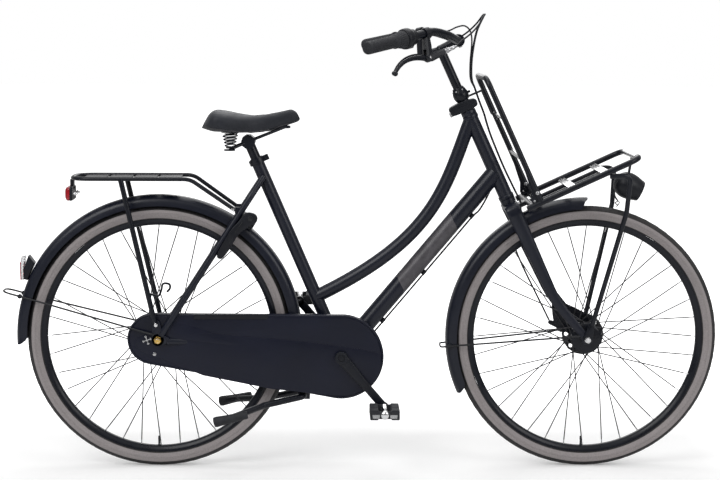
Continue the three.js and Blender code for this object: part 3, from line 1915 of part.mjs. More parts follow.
// A place on a circle round the wheel, with the angle taken from straight down towards the right.
function onRing(radius, degrees, forward = lockForward) {
  const angle = radians(degrees);
  const up = lockRingUp - radius * Math.cos(angle);
  return onSeatStay(seatStayLength - up, -radius * Math.sin(angle), forward);
}

function ringArc(radius, from, to, steps) {
  const stations = [];
  for (let i = 0; i <= steps; i += 1) stations.push(onRing(radius, lerp(from, to, i / steps)));
  return stations;
}

function ringLockSolid() {
  const { opening, inner, outer, thickness, steps, channel, channelLead, catchDepth, channelEnd } = ringLock;
  const corners = [];
  for (let i = 0; i <= steps; i += 1) {
    const angle = radians(lerp(opening, 360 - opening, i / steps));
    corners.push([-outer * Math.sin(angle), -outer * Math.cos(angle)]);
  }
  for (let i = steps; i >= 0; i -= 1) {
    const angle = radians(lerp(opening, 360 - opening, i / steps));
    corners.push([-inner * Math.sin(angle), -inner * Math.cos(angle)]);
  }
  const centre = (forward) => onSeatStay(seatStayLength - lockRingUp, 0, forward);
  const back = lockForward - thickness / 2;
  const body = sweep([centre(back), centre(back + thickness)], outline(corners), axisY);
  const cylinder = rod(
    onRing(ringLock.bowRadius, ringLock.cylinderAt, back + thickness / 2),
    onRing(ringLock.bowRadius, ringLock.cylinderAt, back + thickness + ringLock.cylinderLength),
    ringLock.cylinder,
    10,
  );
  const bowChannel = tube(ringArc(ringLock.bowRadius, opening - channelLead, channelEnd, 12), channel, 6);
  const catchArc = ringArc(ringLock.bowRadius, channelLead - opening, -opening - catchDepth, 3);
  const catchHole = tube(catchArc, channel, 6);
  return cut(join(body, cylinder), bowChannel, catchHole);
}

add("ring_lock", ringLockSolid(), blackPlastic);
const bowArc = ringArc(ringLock.bowRadius, ringLock.bowStart, ringLock.bowEnd, ringLock.bowSteps);
add("ring_lock_bow", tube(bowArc, ringLock.bowTube, 6), steel);

// Two-legged stand that folds up under the chain stays

function kickstandSolid() {
  const angle = radians(stand.folded);
  const onLeg = (along, half) => standPivot.clone().add(polar(along * stand.length, angle, 0)).setY(half);
  const leg = standLegShares.map(([along, out]) => onLeg(along, -out * standFootHalf)).reverse();
  leg.push(onLeg(0, -stand.rootHalf));
  const tubeBody = tube(rounded(bothSides(leg), stand.corner), stand.tube);
  const feet = sides.map((side) => {
    const start = onLeg(1 - stand.footLength / stand.length, side * standFootHalf * standLegShares[2][1]);
    return rod(start, onLeg(1, side * standFootHalf), stand.foot, 8);
  });
  return join(tubeBody, feet);
}

add("kickstand", kickstandSolid(), blackAlloy);

// Seat post with its collar and clamp

const seatPost = rod(seatLine(postTop - seat.postLength), seatLine(postTop), seat.post, 14);
add("seat_post", seatPost, steel);

function collarSolid() {
  const { collarHeight, collarRadius, earInner, earOuter, earReach } = seat;
  const from = collarTop - collarHeight;
  const ring = rod(seatLine(from), seatLine(collarTop), collarRadius, 14);
  const ears = sides.map((side) => {
    const left = (side * (earInner + earOuter)) / 2;
    const shape = rectangle(earOuter - earInner, earReach - seat.post);
    const forward = (earReach + seat.post) / 2;
    return sweep([seatLine(from, forward, left), seatLine(collarTop, forward, left)], shape, axisY);
  });
  const slit = sweep(
    [seatLine(from - gap.overrun, earReach / 2), seatLine(collarTop + gap.overrun, earReach / 2)],
    rectangle(2 * earInner, earReach + gap.overrun),
    axisY,
  );
  const boltMid = from + collarHeight / 2;
  const bolt = rod(
    seatLine(boltMid, seat.boltReach, -seat.boltHalf),
    seatLine(boltMid, seat.boltReach, seat.boltHalf),
    seat.boltRadius,
    8,
  );
  const bore = hole(
    seatLine(from - gap.overrun),
    seatLine(collarTop + gap.overrun),
    frameTube.seat + gap.touch,
    12,
  );
  return join(cut(join(ring, ears), bore, slit), bolt);
}

add("seat_clamp", collarSolid(), blackAlloy);

// Saddle: rail wire, coil springs, base plate and cushion

// Rows of shares: along the saddle, half width, top and bottom above its lowest line.
const saddleShares = [
  [0, 0.42, 0.83, 0.42],
  [0.04, 0.78, 0.92, 0.34],
  [0.12, 0.99, 0.96, 0.28],
  [0.25, 1, 0.88, 0.2],
  [0.37, 0.82, 0.74, 0.1],
  [0.5, 0.54, 0.67, 0.02],
  [0.62, 0.36, 0.71, 0.06],
  [0.75, 0.27, 0.83, 0.2],
  [0.88, 0.23, 0.96, 0.38],
  [0.96, 0.19, 1, 0.5],
  [1, 0.1, 0.93, 0.62],
];
// Rows of shares of the plate under the cushion: along the saddle and half width.
const saddleBaseShares = [
  [0.07, 0.46],
  [0.31, 0.6],
  [0.55, 0.3],
  [0.93, 0.14],
];

const clampPlace = seatLine(seatClampAt);
const saddleRear = clampPlace.x - saddle.behindClamp;
const saddleBottom = clampPlace.z + saddle.aboveClamp;
const springX = clampPlace.x - rails.springBack;
const springFoot = clampPlace.z - rails.springDrop;
const saddleX = (share) => saddleRear + share * saddle.length;
const saddleZ = (share) => saddleBottom + share * saddle.height;

function saddleBottomAt(x) {
  const share = (x - saddleRear) / saddle.length;
  const next = saddleShares.findIndex((row) => row[0] > share);
  const before = saddleShares[next - 1];
  const after = saddleShares[next];
  return saddleZ(THREE.MathUtils.mapLinear(share, before[0], after[0], before[3], after[3]));
}

const cushionStations = saddleShares.map(([along, , top, bottom]) =>
  point(saddleX(along), 0, saddleZ((top + bottom) / 2)),
);
const cushionSizes = saddleShares.map(([, out, top, bottom]) => [
  out * saddle.half,
  ((top - bottom) / 2) * saddle.height,
]);

// Rings stay upright, so the cushion's length and height are those of the table.
function uprightLoft(stations, sizes, count, squareness) {
  const flat = stations.map((station) => point(station.x, 0, 0));
  const geometry = geometryOf(loft(flat, sizes, count, axisY, squareness));
  const positions = geometry.attributes.position;
  for (let i = 0; i < positions.count; i += 1) {
    const x = positions.getX(i);
    const k = stations.findIndex((station) => Math.abs(station.x - x) < gap.touch);
    positions.setZ(i, positions.getZ(i) + stations[k].z);
  }
  return solid(geometry);
}

add("saddle_cover", uprightLoft(cushionStations, cushionSizes, saddle.around, saddle.squareness), cushion);

function saddleBaseSolid() {
  const rows = saddleShares.slice(1, -1);
  const upper = rows.map(([along, , , bottom]) => [saddleX(along), saddleZ(bottom) - gap.touch]);
  const lower = upper.map(([x, z]) => [x, z - saddle.basePlate]);
  const curved = plate(outline([...lower, ...upper.reverse()]), -saddle.half, saddle.half);
  const edge = saddleBaseShares.map(([along, out]) => [saddleX(along), out * saddle.half]);
  const plan = outline([...edge.map(([x, y]) => [x, -y]), ...edge.reverse()]);
  const trimmer = new THREE.ExtrudeGeometry(plan, { depth: saddle.height, bevelEnabled: false });
  trimmer.translate(0, 0, saddleBottom - saddle.basePlate - gap.overrun);
  const base = curved.intersect(solid(trimmer));
  const springTop = saddleBottomAt(springX) - saddle.basePlate;
  const pads = sides.map((side) => {
    const at = (z) => point(springX, side * rails.springHalf, z);
    const disc = rod(at(saddleBottom), at(saddleBottom + saddle.padHeight), saddle.padRadius, 10);
    return join(disc, rod(at(saddleBottom + gap.run), at(springTop + gap.run), saddle.postRadius, 8));
  });
  return join(base, pads);
}

add("saddle_base", saddleBaseSolid(), blackPlastic);

function railStations() {
  const noseX = clampPlace.x + rails.noseAhead;
  const side = [
    point(springX, -rails.springHalf, springFoot),
    point(clampPlace.x, -rails.clampHalf, clampPlace.z),
    point(noseX, -rails.noseHalf, clampPlace.z + rails.noseUp),
    point(noseX + rails.noseTurn, -rails.noseHalf, clampPlace.z + rails.noseUp),
  ];
  return rounded(bothSides(side), rails.corner);
}
const padTop = springFoot + rails.padThickness / 2;
const railPads = sides.map((side) => {
  const at = (z) => point(springX, side * rails.springHalf, z);
  return rod(at(padTop - rails.padThickness), at(padTop), rails.padRadius, 8);
});
add("saddle_rails", join(tube(railStations(), rails.wire, 6), railPads), steel);

function saddleClampSolid() {
  const body = rod(
    atY(clampPlace, -seat.clampHalf),
    atY(clampPlace, seat.clampHalf),
    seat.clampRadius,
    10,
  );
  const roomBottom = seatLine(seatClampAt - 2 * seat.clampRadius);
  const postRoom = hole(roomBottom, seatLine(postTop + gap.touch), seat.post + gap.touch, 14);
  return cut(body, postRoom, tube(railStations(), rails.wire + gap.touch, 6));
}

add("saddle_clamp", saddleClampSolid(), steel);

// One spring as a list of stations: a straight stub, the curls that widen upwards, another stub.
function springStations(side) {
  const bottom = padTop + gap.touch;
  const top = saddleBottom - gap.touch;
  const steps = spring.curls * spring.stepsPerCurl;
  const low = bottom + spring.stub;
  const high = top - spring.stub;
  const at = (radius, angle, z) =>
    point(
      springX + radius * Math.cos(angle),
      side * (rails.springHalf + radius * Math.sin(angle)),
      z,
    );
  const stations = [at(spring.bottomRadius, 0, bottom), at(spring.bottomRadius, 0, low)];
  for (let i = 1; i < steps; i += 1) {
    const t = i / steps;
    const radius = lerp(spring.bottomRadius, spring.topRadius, t);
    const angle = 2 * Math.PI * spring.curls * t;
    stations.push(at(radius, angle, lerp(low + spring.rise, high - spring.rise, t)));
  }
  stations.push(at(spring.topRadius, 0, high), at(spring.topRadius, 0, top));
  return stations;
}

// The least clear distance between curls: wire surfaces more than half a curl apart.
function leastGap(stations) {
  let least = Infinity;
  for (let i = 0; i < stations.length; i += 1) {
    for (let j = i + spring.stepsPerCurl / 2 + 1; j < stations.length; j += 1) {
      least = Math.min(least, stations[i].distanceTo(stations[j]));
    }
  }
  return least - 2 * spring.wire;
}

for (const [name, side] of [
  ["saddle_spring_right", -1],
  ["saddle_spring_left", 1],
]) {
  const stations = springStations(side);
  add(name, tube(stations, spring.wire, spring.sides), steel);
  console.log(name, "least gap between its curls in mm:", leastGap(stations).toFixed(2));
}

// Front carrier on the fork, its backrest and its slats

const inCarrier = (drop, forward, left) => steer(carrierAt - drop, forward, left);

function carrierSlat(forward, half) {
  const { slatHalf, slatThickness } = carrier;
  return sweep(
    [inCarrier(-slatThickness / 2, forward, 0), inCarrier(slatThickness / 2, forward, 0)],
    rectangle(2 * half, 2 * slatHalf),
    axisY,
  );
}

function carrierSolid() {
  const side = [inCarrier(0, carrier.start, -carrier.half), inCarrier(0, carrier.front, -carrier.half)];
  const hoop = tube(rounded(bothSides(side), carrier.corner), carrier.tube);
  const cross = rod(
    inCarrier(0, carrier.cross, -carrier.half),
    inCarrier(0, carrier.cross, carrier.half),
    carrier.tube,
    6,
  );
  const rods = sides.map((y) =>
    rod(
      inCarrier(carrier.rodDrop, carrier.cross, y * carrier.rodHalf),
      inCarrier(carrier.rodDrop, carrier.rodEnd, y * carrier.rodHalf),
      carrier.rod,
      6,
    ),
  );
  const arm = sweep(
    [inCarrier(0, fork.crownDepth / 2 + gap.touch, 0), inCarrier(0, carrier.cross, 0)],
    rectangle(2 * carrier.armHalf, carrier.armThickness),
    axisY,
  );
  const legs = sides.flatMap((y) => {
    const start = inCarrier(carrier.legDrop, carrier.legStart, y * carrier.legHalf);
    const shoulder = start.clone().add(point(carrier.legReach, 0, carrier.legRise));
    const elbow = shoulder.clone().add(point(-carrier.legElbowBack, 0, -carrier.legElbowDrop));
    const foot = point(carrier.legFootForward, y * carrier.legFootHalf, carrier.legFootUp);
    const low = frontAxle.clone().add(foot);
    const run = [start, shoulder, atY(elbow, y * carrier.legElbowHalf), low];
    const eyeInner = forkDropOuter + gap.touch;
    const from = y < 0 ? -eyeInner - carrier.eyeThickness : eyeInner;
    const to = from + carrier.eyeThickness;
    const eye = plate(roundTwo(frontAxle, carrier.eye, atY(low, 0), carrier.tube, 5), from, to);
    const leg = tube(rounded(run, carrier.legCorner), carrier.leg, 7);
    return [leg, cut(eye, acrossHole(frontAxle, from, to, carrier.eyeHole))];
  });
  return join(hoop, cross, rods, arm, carrierSlat(carrier.slatHidden, carrier.half), legs);
}

add("front_carrier", carrierSolid(), blackAlloy);
const freeSlatHalf = carrier.half - carrier.tube - gap.touch;
add("carrier_slat_rear", carrierSlat(carrier.slatRear, freeSlatHalf), brightAlloy);
add("carrier_slat_front", carrierSlat(carrier.slatFront, freeSlatHalf), brightAlloy);

function backrestSolid() {
  const { forward, half, corner, foot, footThickness } = backrest;
  const seatAt = carrierAt + carrier.slatThickness / 2 + gap.touch;
  const post = [steer(seatAt, forward, -half), steer(carrierAt + backrest.height, forward, -half)];
  const hoop = tube(rounded(bothSides(post), corner), backrest.tube);
  const bars = [backrest.barLow, backrest.barHigh].map((up) =>
    rod(steer(carrierAt + up, forward, -half), steer(carrierAt + up, forward, half), backrest.bar, 8),
  );
  const feet = sides.map((side) =>
    sweep(
      [steer(seatAt, forward, side * half), steer(seatAt + footThickness, forward, side * half)],
      chamfered(2 * foot, 2 * foot, footThickness),
      axisY,
    ),
  );
  return join(hoop, bars, feet);
}

add("carrier_backrest", backrestSolid(), blackAlloy);

// Headlamp under the front of the carrier

function headlampSolid() {
  const centre = steer(carrierAt - headlamp.drop, headlamp.forward);
  const lean = radians(headlamp.tilt);
  const facing = point(Math.cos(lean), 0, -Math.sin(lean));
  const barrel = turned(
    [
      [0, headlamp.barrelStart],
      [headlamp.barrelRadius, headlamp.barrelStart],
      [headlamp.lens, headlamp.front],
      [headlamp.lens - headlamp.lensDepth, headlamp.front],
      [headlamp.lens - headlamp.lensDepth, headlamp.front - headlamp.lensDepth],
      [0, headlamp.front - headlamp.lensDepth],
    ],
    12,
    centre,
    facing,
  );
  const strap = sweep(
    [centre, steer(carrierAt - headlamp.strapDrop, headlamp.strapForward)],
    rectangle(headlamp.strapWidth, headlamp.strapThickness),
    axisY,
  );
  return join(ball(centre, headlamp.radius, 12, headlamp.stretch), barrel, strap);
}

add("headlamp", headlampSolid(), blackPlastic);

// Brakes: a drum plate held by an arm to the left chain stay, and a vented disc by the left fork leg

function rearBrakeSolid() {
  const drum = plate(circle(brake.rearRadius, brake.segments), brake.rearInner, brake.rearOuter);
  const eye = point(brake.armX, 0, -brake.armDown);
  const arm = plate(
    roundTwo(point(0, 0, 0), brake.armRoot, eye, brake.armTip, 5),
    brake.rearInner,
    brake.rearInner + brake.armThickness,
  );
  const stayShare = (brake.armX - stays.chainRearX) / (shoulderX - stays.chainRearX);
  const stayMiddle = lerp(wheelRadius - stays.chainDrop, crankHeight + 2 * stays.chainDrop, stayShare);
  const underStay = stayMiddle - frameTube.chainStay - gap.run - wheelRadius;
  const clip = block(
    point(brake.armX - brake.clipHalf, brake.rearInner, -brake.armDown),
    point(brake.armX + brake.clipHalf, brake.clipOuter, underStay),
  );
  return cut(join(drum, arm, clip), acrossHole(point(0, 0, 0), brake.rearInner, brake.rearOuter, brake.bore));
}

addAt("rear_brake", rearBrakeSolid(), blackAlloy, rearAxle);

const brakeAnchor = frontAxle.clone().add(point(-brake.anchorBack, 0, brake.anchorUp));

function frontBrakeSolid() {
  const centre = atY(frontAxle, 0);
  const { frontInner, frontOuter, armThickness } = brake;
  const ring = [];
  for (let i = 0; i < brake.segments; i += 1) {
    const angle = (2 * Math.PI * i) / brake.segments;
    const spot = polar(brake.frontRadius, angle, 0).add(centre);
    ring.push([spot.x, spot.z]);
  }
  const shape = outline(ring);
  for (let i = 0; i < brake.holes; i += 1) {
    const angle = (2 * Math.PI * i) / brake.holes;
    const spot = polar(brake.holeCircle, angle, 0).add(centre);
    shape.holes.push(ringHole(brake.holeRadius, 6, spot.x, spot.z));
  }
  const eye = steer(brake.legAt, 0, 0);
  const arm = plate(
    roundTwo(centre, brake.armRoot, eye, brake.armTip, 5),
    frontOuter - armThickness,
    frontOuter,
  );
  const lug = rod(atY(eye, frontOuter - gap.run), atY(eye, brake.legFace), brake.armTip, 8);
  const anchorArm = plate(
    roundTwo(brakeAnchor, brake.anchorRadius, centre, brake.armRoot, 4),
    frontOuter - armThickness,
    frontOuter,
  );
  const pieces = join(plate(shape, frontInner, frontOuter), arm, lug, anchorArm);
  return cut(pieces, acrossHole(centre, frontInner, frontOuter, brake.bore));
}

add("front_brake", frontBrakeSolid(), steel);

// Brake cables from the levers, over the bar and down in front of the head tube

function barCable(side, ends, steps) {
  const outlet = leverOutlet(side);
  const beyond = outlet.clone().sub(leverPivot(side)).normalize();
  const start = outlet.addScaledVector(beyond, lever.barrelLength + gap.touch);
  const away = start.clone().addScaledVector(beyond, 2 * lever.barrelLength);
  const path = new THREE.CatmullRomCurve3([start, away, ...cableLoop(side), ...ends], false, "centripetal");
  return tube(path.getPoints(steps), cable.radius, cable.sides);
}

const cableLoop = (side) => cableWay.map(([up, forward, out]) => steer(barClampAt + up, forward, side * out));
const cableEnds = (places) => places.map(([up, forward, out]) => steer(crownTop + up, forward, out));
const frontEnds = cableEnds(frontCableEnd);
const anchorSeat = atY(brakeAnchor, brake.frontOuter - brake.armThickness / 2);
const upCable = frontEnds[frontEnds.length - 1].clone().sub(anchorSeat).normalize();
frontEnds.push(anchorSeat.addScaledVector(upCable, brake.anchorRadius + 2 * gap.touch));
add("bar_cable_right", barCable(-1, cableEnds(rearCableEnd), cable.steps), blackPlastic);
add("bar_cable_left", barCable(1, frontEnds, cable.longSteps), blackPlastic);

// The group is moved so that its box stands centred on the origin.
const bounds = new THREE.Box3().setFromObject(bike);
const middle = bounds.getCenter(point(0, 0, 0));
bike.position.set(-middle.x, -middle.y, -bounds.min.z);

export default bike;
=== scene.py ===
# Dutch city bike: looks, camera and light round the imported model.
# Points are model millimetres, with the rear axle at X = 0, until a piece is made in row metres.

import bpy
import bmesh
import numpy as np
from math import acos, atan2, ceil, copysign, cos, degrees, hypot, pi, radians, sin, sqrt, tan
from mathutils import Matrix, Vector


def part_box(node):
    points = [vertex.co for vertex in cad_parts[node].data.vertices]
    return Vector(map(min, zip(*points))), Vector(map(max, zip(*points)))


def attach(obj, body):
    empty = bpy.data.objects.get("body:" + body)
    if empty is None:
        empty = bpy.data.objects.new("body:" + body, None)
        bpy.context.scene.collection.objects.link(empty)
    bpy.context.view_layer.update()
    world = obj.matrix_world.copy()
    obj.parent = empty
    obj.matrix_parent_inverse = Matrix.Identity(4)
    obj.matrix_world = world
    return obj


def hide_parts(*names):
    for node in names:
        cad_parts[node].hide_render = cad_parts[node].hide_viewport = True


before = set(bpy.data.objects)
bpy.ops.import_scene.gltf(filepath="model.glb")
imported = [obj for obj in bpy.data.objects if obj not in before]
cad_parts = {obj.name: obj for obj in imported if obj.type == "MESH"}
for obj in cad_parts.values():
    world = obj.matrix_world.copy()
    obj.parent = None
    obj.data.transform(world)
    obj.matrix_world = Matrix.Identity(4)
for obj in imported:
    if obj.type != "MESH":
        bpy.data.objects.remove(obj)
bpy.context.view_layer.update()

MM = 0.001
SHIFT = Vector((-543.2560119628906, 0.0, 0.0))


def V(x, y, z):
    return Vector((x, y, z))


X, Y, Z = V(1, 0, 0), V(0, 1, 0), V(0, 0, 1)


def row(p):
    return (p + SHIFT) * MM


def placed(name, data):
    made = bpy.data.objects.new(name, data)
    bpy.context.scene.collection.objects.link(made)
    return made


# Camera, fitted to the photograph

YAW, PITCH, ROLL = 0.0198, 0.1194, 0.0046
EYE = V(443.8, -4811.3, 1194.6)
LENS_MM, SENSOR_MM, FAR_CLIP = 90.02, 36.0, 60.0
forward = V(sin(YAW) * cos(PITCH), cos(YAW) * cos(PITCH), -sin(PITCH))
level_right = V(cos(YAW), -sin(YAW), 0)
level_up = level_right.cross(forward)
right = cos(ROLL) * level_right + sin(ROLL) * level_up
up = -sin(ROLL) * level_right + cos(ROLL) * level_up
camera_data = bpy.data.cameras.new("camera")
camera_data.lens, camera_data.sensor_width, camera_data.clip_end = LENS_MM, SENSOR_MM, FAR_CLIP
camera = placed("camera", camera_data)
camera.matrix_world = Matrix([*zip(right, up, -forward, row(EYE)), (0, 0, 0, 1)])
bpy.context.scene.camera = camera

# Materials


class Graph:
    """A node tree with short calls for its nodes and links."""

    def __init__(self, name=None, tree=None):
        if tree is None:
            self.material = bpy.data.materials.new(name)
            self.material.use_nodes = True
        self.tree = tree or self.material.node_tree
        self.tree.nodes.clear()
        self.out = self.node("ShaderNodeOutputWorld" if tree else "ShaderNodeOutputMaterial")

    def put(self, value, socket):
        """Links another node's output to a socket, or sets a plain value there."""
        if isinstance(value, bpy.types.NodeSocket):
            self.tree.links.new(value, socket)
        else:
            socket.default_value = (*value, 1.0) if socket.type == "RGBA" else value

    def node(self, kind, inputs=None, **values):
        made = self.tree.nodes.new(kind)
        for key, value in values.items():
            setattr(made, key, value)
        for key, value in (inputs or {}).items():
            self.put(value, made.inputs[key])
        return made

    def surface(self, output):
        self.put(output, self.out.inputs["Surface"])

    def coordinates(self):
        return self.node("ShaderNodeTexCoord").outputs["Object"]

    def noise(self, scale, detail, rough=0.55):
        inputs = {"Scale": scale, "Detail": detail, "Roughness": rough, "Vector": self.coordinates()}
        return self.node("ShaderNodeTexNoise", inputs).outputs["Fac"]

    def cells(self, scale, feature="F1"):
        inputs = {"Scale": scale, "Vector": self.coordinates()}
        return self.node("ShaderNodeTexVoronoi", inputs, feature=feature).outputs["Distance"]

    def ramp(self, factor, low, high, start=0.35, end=0.65):
        made = self.node("ShaderNodeValToRGB", {"Fac": factor})
        first, last = made.color_ramp.elements
        first.position, last.position = start, end
        first.color, last.color = (*low, 1.0), (*high, 1.0)
        return made.outputs["Color"]

    def spread(self, factor, low, high, start=0.3, end=0.7):
        inputs = {"Value": factor, "From Min": start, "From Max": end, "To Min": low, "To Max": high}
        return self.node("ShaderNodeMapRange", inputs).outputs["Result"]

    def bump(self, height, distance, strength, under=None):
        made = self.node("ShaderNodeBump", {"Distance": distance, "Strength": strength, "Height": height})
        if under is not None:
            self.put(under, made.inputs["Normal"])
        return made.outputs["Normal"]

    def math(self, operation, *values):
        return self.node("ShaderNodeMath", dict(enumerate(values)), operation=operation).outputs[0]

    def mix(self, factor, a, b):
        made = self.node("ShaderNodeMix", data_type="RGBA")
        for value, socket in ((factor, "Factor"), (a, 6), (b, 7)):
            self.put(value, made.inputs[socket])
        return made.outputs[2]

    def finish(self, colour, roughness, normal, **fixed):
        """Ends a material with its shader. Named values go to the inputs of the same name."""
        inputs = {"Base Color": colour, "Roughness": roughness, "Normal": normal}
        inputs.update({key.replace("_", " "): value for key, value in fixed.items()})
        self.surface(self.node("ShaderNodeBsdfPrincipled", inputs).outputs["BSDF"])
        return self.material


def shade(colour, factor):
    return tuple(min(1.0, c * factor) for c in colour)


def plain_material(name, colour, rough, grain=900, depth=4e-5, cloud=9, vary=0.16, swing=0.05, **fixed):
    """A moulded or coated surface: slow shifts of colour and gloss, and a fine grain in its relief."""
    g = Graph(name)
    tint = g.ramp(g.noise(cloud, 5), shade(colour, 1 - vary), shade(colour, 1 + vary))
    gloss = g.spread(g.noise(cloud * 4, 3), rough - swing, rough + swing)
    return g.finish(tint, gloss, g.bump(g.noise(grain, 2), depth, 0.5), **fixed)


def metal_material(name, colour, rough, vary=0.1, swing=0.06):
    """A polished or drawn metal: fine grain, faint stains and small changes of gloss."""
    g = Graph(name)
    tint = g.ramp(g.noise(35, 6, 0.65), shade(colour, 1 - vary), shade(colour, 1 + vary / 2), 0.3, 0.7)
    gloss = g.spread(g.noise(160, 4), rough - swing, rough + swing)
    return g.finish(tint, gloss, g.bump(g.noise(700, 3, 0.6), 2e-5, 0.6), Metallic=1.0)


def paint_material():
    """Satin dark blue paint with a fine orange-peel skin and a little road dust."""
    g = Graph("frame_paint")
    tint = g.ramp(g.noise(6, 4), (0.0036, 0.0052, 0.0125), (0.0058, 0.0076, 0.0165))
    dust = g.spread(g.noise(70, 8, 0.7), 0.0, 0.25, 0.62, 0.85)
    peel = g.bump(g.noise(380, 2), 5e-5, 0.35)
    skin_relief = g.bump(g.noise(1500, 2), 1e-5, 0.25, peel)
    coat = {"Specular_IOR_Level": 0.3, "Coat_Weight": 0.15, "Coat_Roughness": 0.2}
    colour = g.mix(dust, tint, (0.022, 0.023, 0.027))
    return g.finish(colour, g.spread(g.noise(24, 4), 0.33, 0.43), skin_relief, **coat)


def tyre_material():
    """Grey rubber side walls with a ribbed bead, and a dark tread. Radii are in metres."""
    g = Graph("tyre_rubber")
    coords = g.node("ShaderNodeAttribute", attribute_name="tyre")
    parts = g.node("ShaderNodeSeparateXYZ", {0: coords.outputs["Vector"]})
    radius, around, _ = parts.outputs
    speck = g.noise(260, 6, 0.7)
    wall = g.ramp(speck, (0.230, 0.208, 0.208), (0.330, 0.300, 0.300), 0.3, 0.7)
    wall = g.mix(g.spread(g.noise(11, 5, 0.6), 0.0, 0.4, 0.45, 0.8), wall, (0.195, 0.178, 0.178))
    tread = g.ramp(g.noise(180, 5), (0.012, 0.011, 0.012), (0.028, 0.026, 0.027))
    is_tread = g.spread(radius, 0.0, 1.0, 0.3428, 0.3438)
    is_bead = g.spread(radius, 1.0, 0.0, 0.3204, 0.3212)
    ribs = g.math("SINE", g.math("MULTIPLY", radius, 6800.0))
    ribs_from = g.spread(radius, 0.0, 1.0, 0.3300, 0.3320)
    ribs_to = g.spread(radius, 1.0, 0.0, 0.3340, 0.3370)
    relief = g.bump(g.math("MULTIPLY", ribs, g.math("MULTIPLY", ribs_from, ribs_to)), 2.5e-4, 0.7)
    hatch = g.math("SINE", g.math("MULTIPLY", around, 900.0))
    hatch = g.math("MULTIPLY", hatch, g.spread(radius, 0.0, 1.0, 0.3380, 0.3400))
    relief = g.bump(g.noise(1200, 3), 6e-5, 0.6, g.bump(hatch, 2.5e-4, 0.5, relief))
    colour = g.mix(g.math("MAXIMUM", is_tread, is_bead), wall, tread)
    return g.finish(colour, g.spread(speck, 0.62, 0.82), relief)


def saddle_material():
    """Matt dark cover with a fine pebbled grain."""
    g = Graph("saddle_cover")
    tint = g.ramp(g.noise(20, 5), (0.0080, 0.0098, 0.0150), (0.0135, 0.0155, 0.0220))
    relief = g.bump(g.cells(700, "DISTANCE_TO_EDGE"), 2.5e-4, 0.35)
    relief = g.bump(g.noise(90, 5), 2e-4, 0.25, relief)
    cloth = {"Specular_IOR_Level": 0.35, "Sheen_Weight": 0.06, "Sheen_Roughness": 0.5}
    return g.finish(tint, g.spread(g.noise(60, 4), 0.5, 0.62), relief, **cloth)


def lens_material(name, colour, weight):
    """Moulded lens plastic with small prisms behind a smooth face."""
    g = Graph(name)
    prisms = g.cells(420)
    tint = g.ramp(prisms, shade(colour, 0.65), shade(colour, 1.25), 0.1, 0.9)
    return g.finish(tint, 0.06, g.bump(prisms, 3e-4, 0.5), Transmission_Weight=weight, IOR=1.49)


def knurl_material():
    """Rubber grip with a fine raised dot pattern."""
    g = Graph("black_rubber")
    tint = g.ramp(g.noise(45, 5), (0.0076, 0.0086, 0.0118), (0.0145, 0.0158, 0.0205))
    return g.finish(tint, g.spread(g.noise(90, 4), 0.62, 0.78), g.bump(g.cells(520), 3e-4, 0.5))


DULL = {"Specular_IOR_Level": 0.3}
# Name: colour, roughness, then grain, depth, cloud size, change of colour and of gloss.
PLAIN = {
    "case_plastic": ((0.0036, 0.0050, 0.0150), 0.36, 800, 4e-5, 7, 0.14),
    "black_plastic": ((0.0052, 0.0062, 0.0100), 0.42, 1100, 6e-5),
    "black_metal": ((0.0048, 0.0060, 0.0105), 0.3, 500, 3e-5, 12, 0.15, 0.05),
}
METALS = {
    "polished_metal": ((0.80, 0.80, 0.81), 0.16),
    "steel": ((0.50, 0.50, 0.51), 0.27),
    "spoke_steel": ((0.050, 0.050, 0.054), 0.4),
    "brass": ((0.78, 0.50, 0.13), 0.24),
}
MATERIALS = {
    "frame_paint": paint_material(),
    "black_rubber": knurl_material(),
    "tyre_rubber": tyre_material(),
    "dark_wire": plain_material(
        "dark_wire", (0.030, 0.031, 0.034), 0.33, 700, 3e-5, 30, 0.2, 0.06, Metallic=0.7
    ),
    "saddle_cover": saddle_material(),
    "red_lens": lens_material("red_lens", (0.42, 0.012, 0.022), 0.25),
    "clear_lens": lens_material("clear_lens", (0.80, 0.82, 0.84), 0.55),
    "grey_panel": plain_material("grey_panel", (0.062, 0.058, 0.065), 0.38, 900, 3e-5, 40, 0.2),
}
MATERIALS.update({name: plain_material(name, *values, **DULL) for name, values in PLAIN.items()})
MATERIALS.update({name: metal_material(name, *values) for name, values in METALS.items()})

# Mesh helpers

SIDES = ((-1, "right"), (1, "left"))


class Shape:
    """Points, faces and one material name, gathered before they become an object."""

    def __init__(self, material):
        self.material, self.points, self.faces = material, [], []


def lerp(a, b, t):
    return a + (b - a) * t


def angles(count, start=0.0):
    return [start + 2 * pi * i / count for i in range(count)]


def circle(centre, u, w, radius, count, start=0.0):
    return [centre + (u * cos(a) + w * sin(a)) * radius for a in angles(count, start)]


def frames_along(points, closed=False, side=None):
    """A tangent and two square directions at each point, turned as little as possible on the way."""
    last = len(points) - 1
    tangents = []
    for i, p in enumerate(points):
        before = points[i - 1] if closed or i else p
        after = points[(i + 1) % len(points)] if closed or i < last else p
        tangents.append(((p - before).normalized() + (after - p).normalized()).normalized())
    if side is not None:
        backs = [t.cross(side).normalized() for t in tangents]
        return [(t, b.cross(t).normalized(), b) for t, b in zip(tangents, backs)]
    normal = Y if abs(tangents[0].y) < 0.9 else X
    result = []
    for t in tangents:
        normal = (normal - t * normal.dot(t)).normalized()
        result.append((t, normal, t.cross(normal).normalized()))
    return result


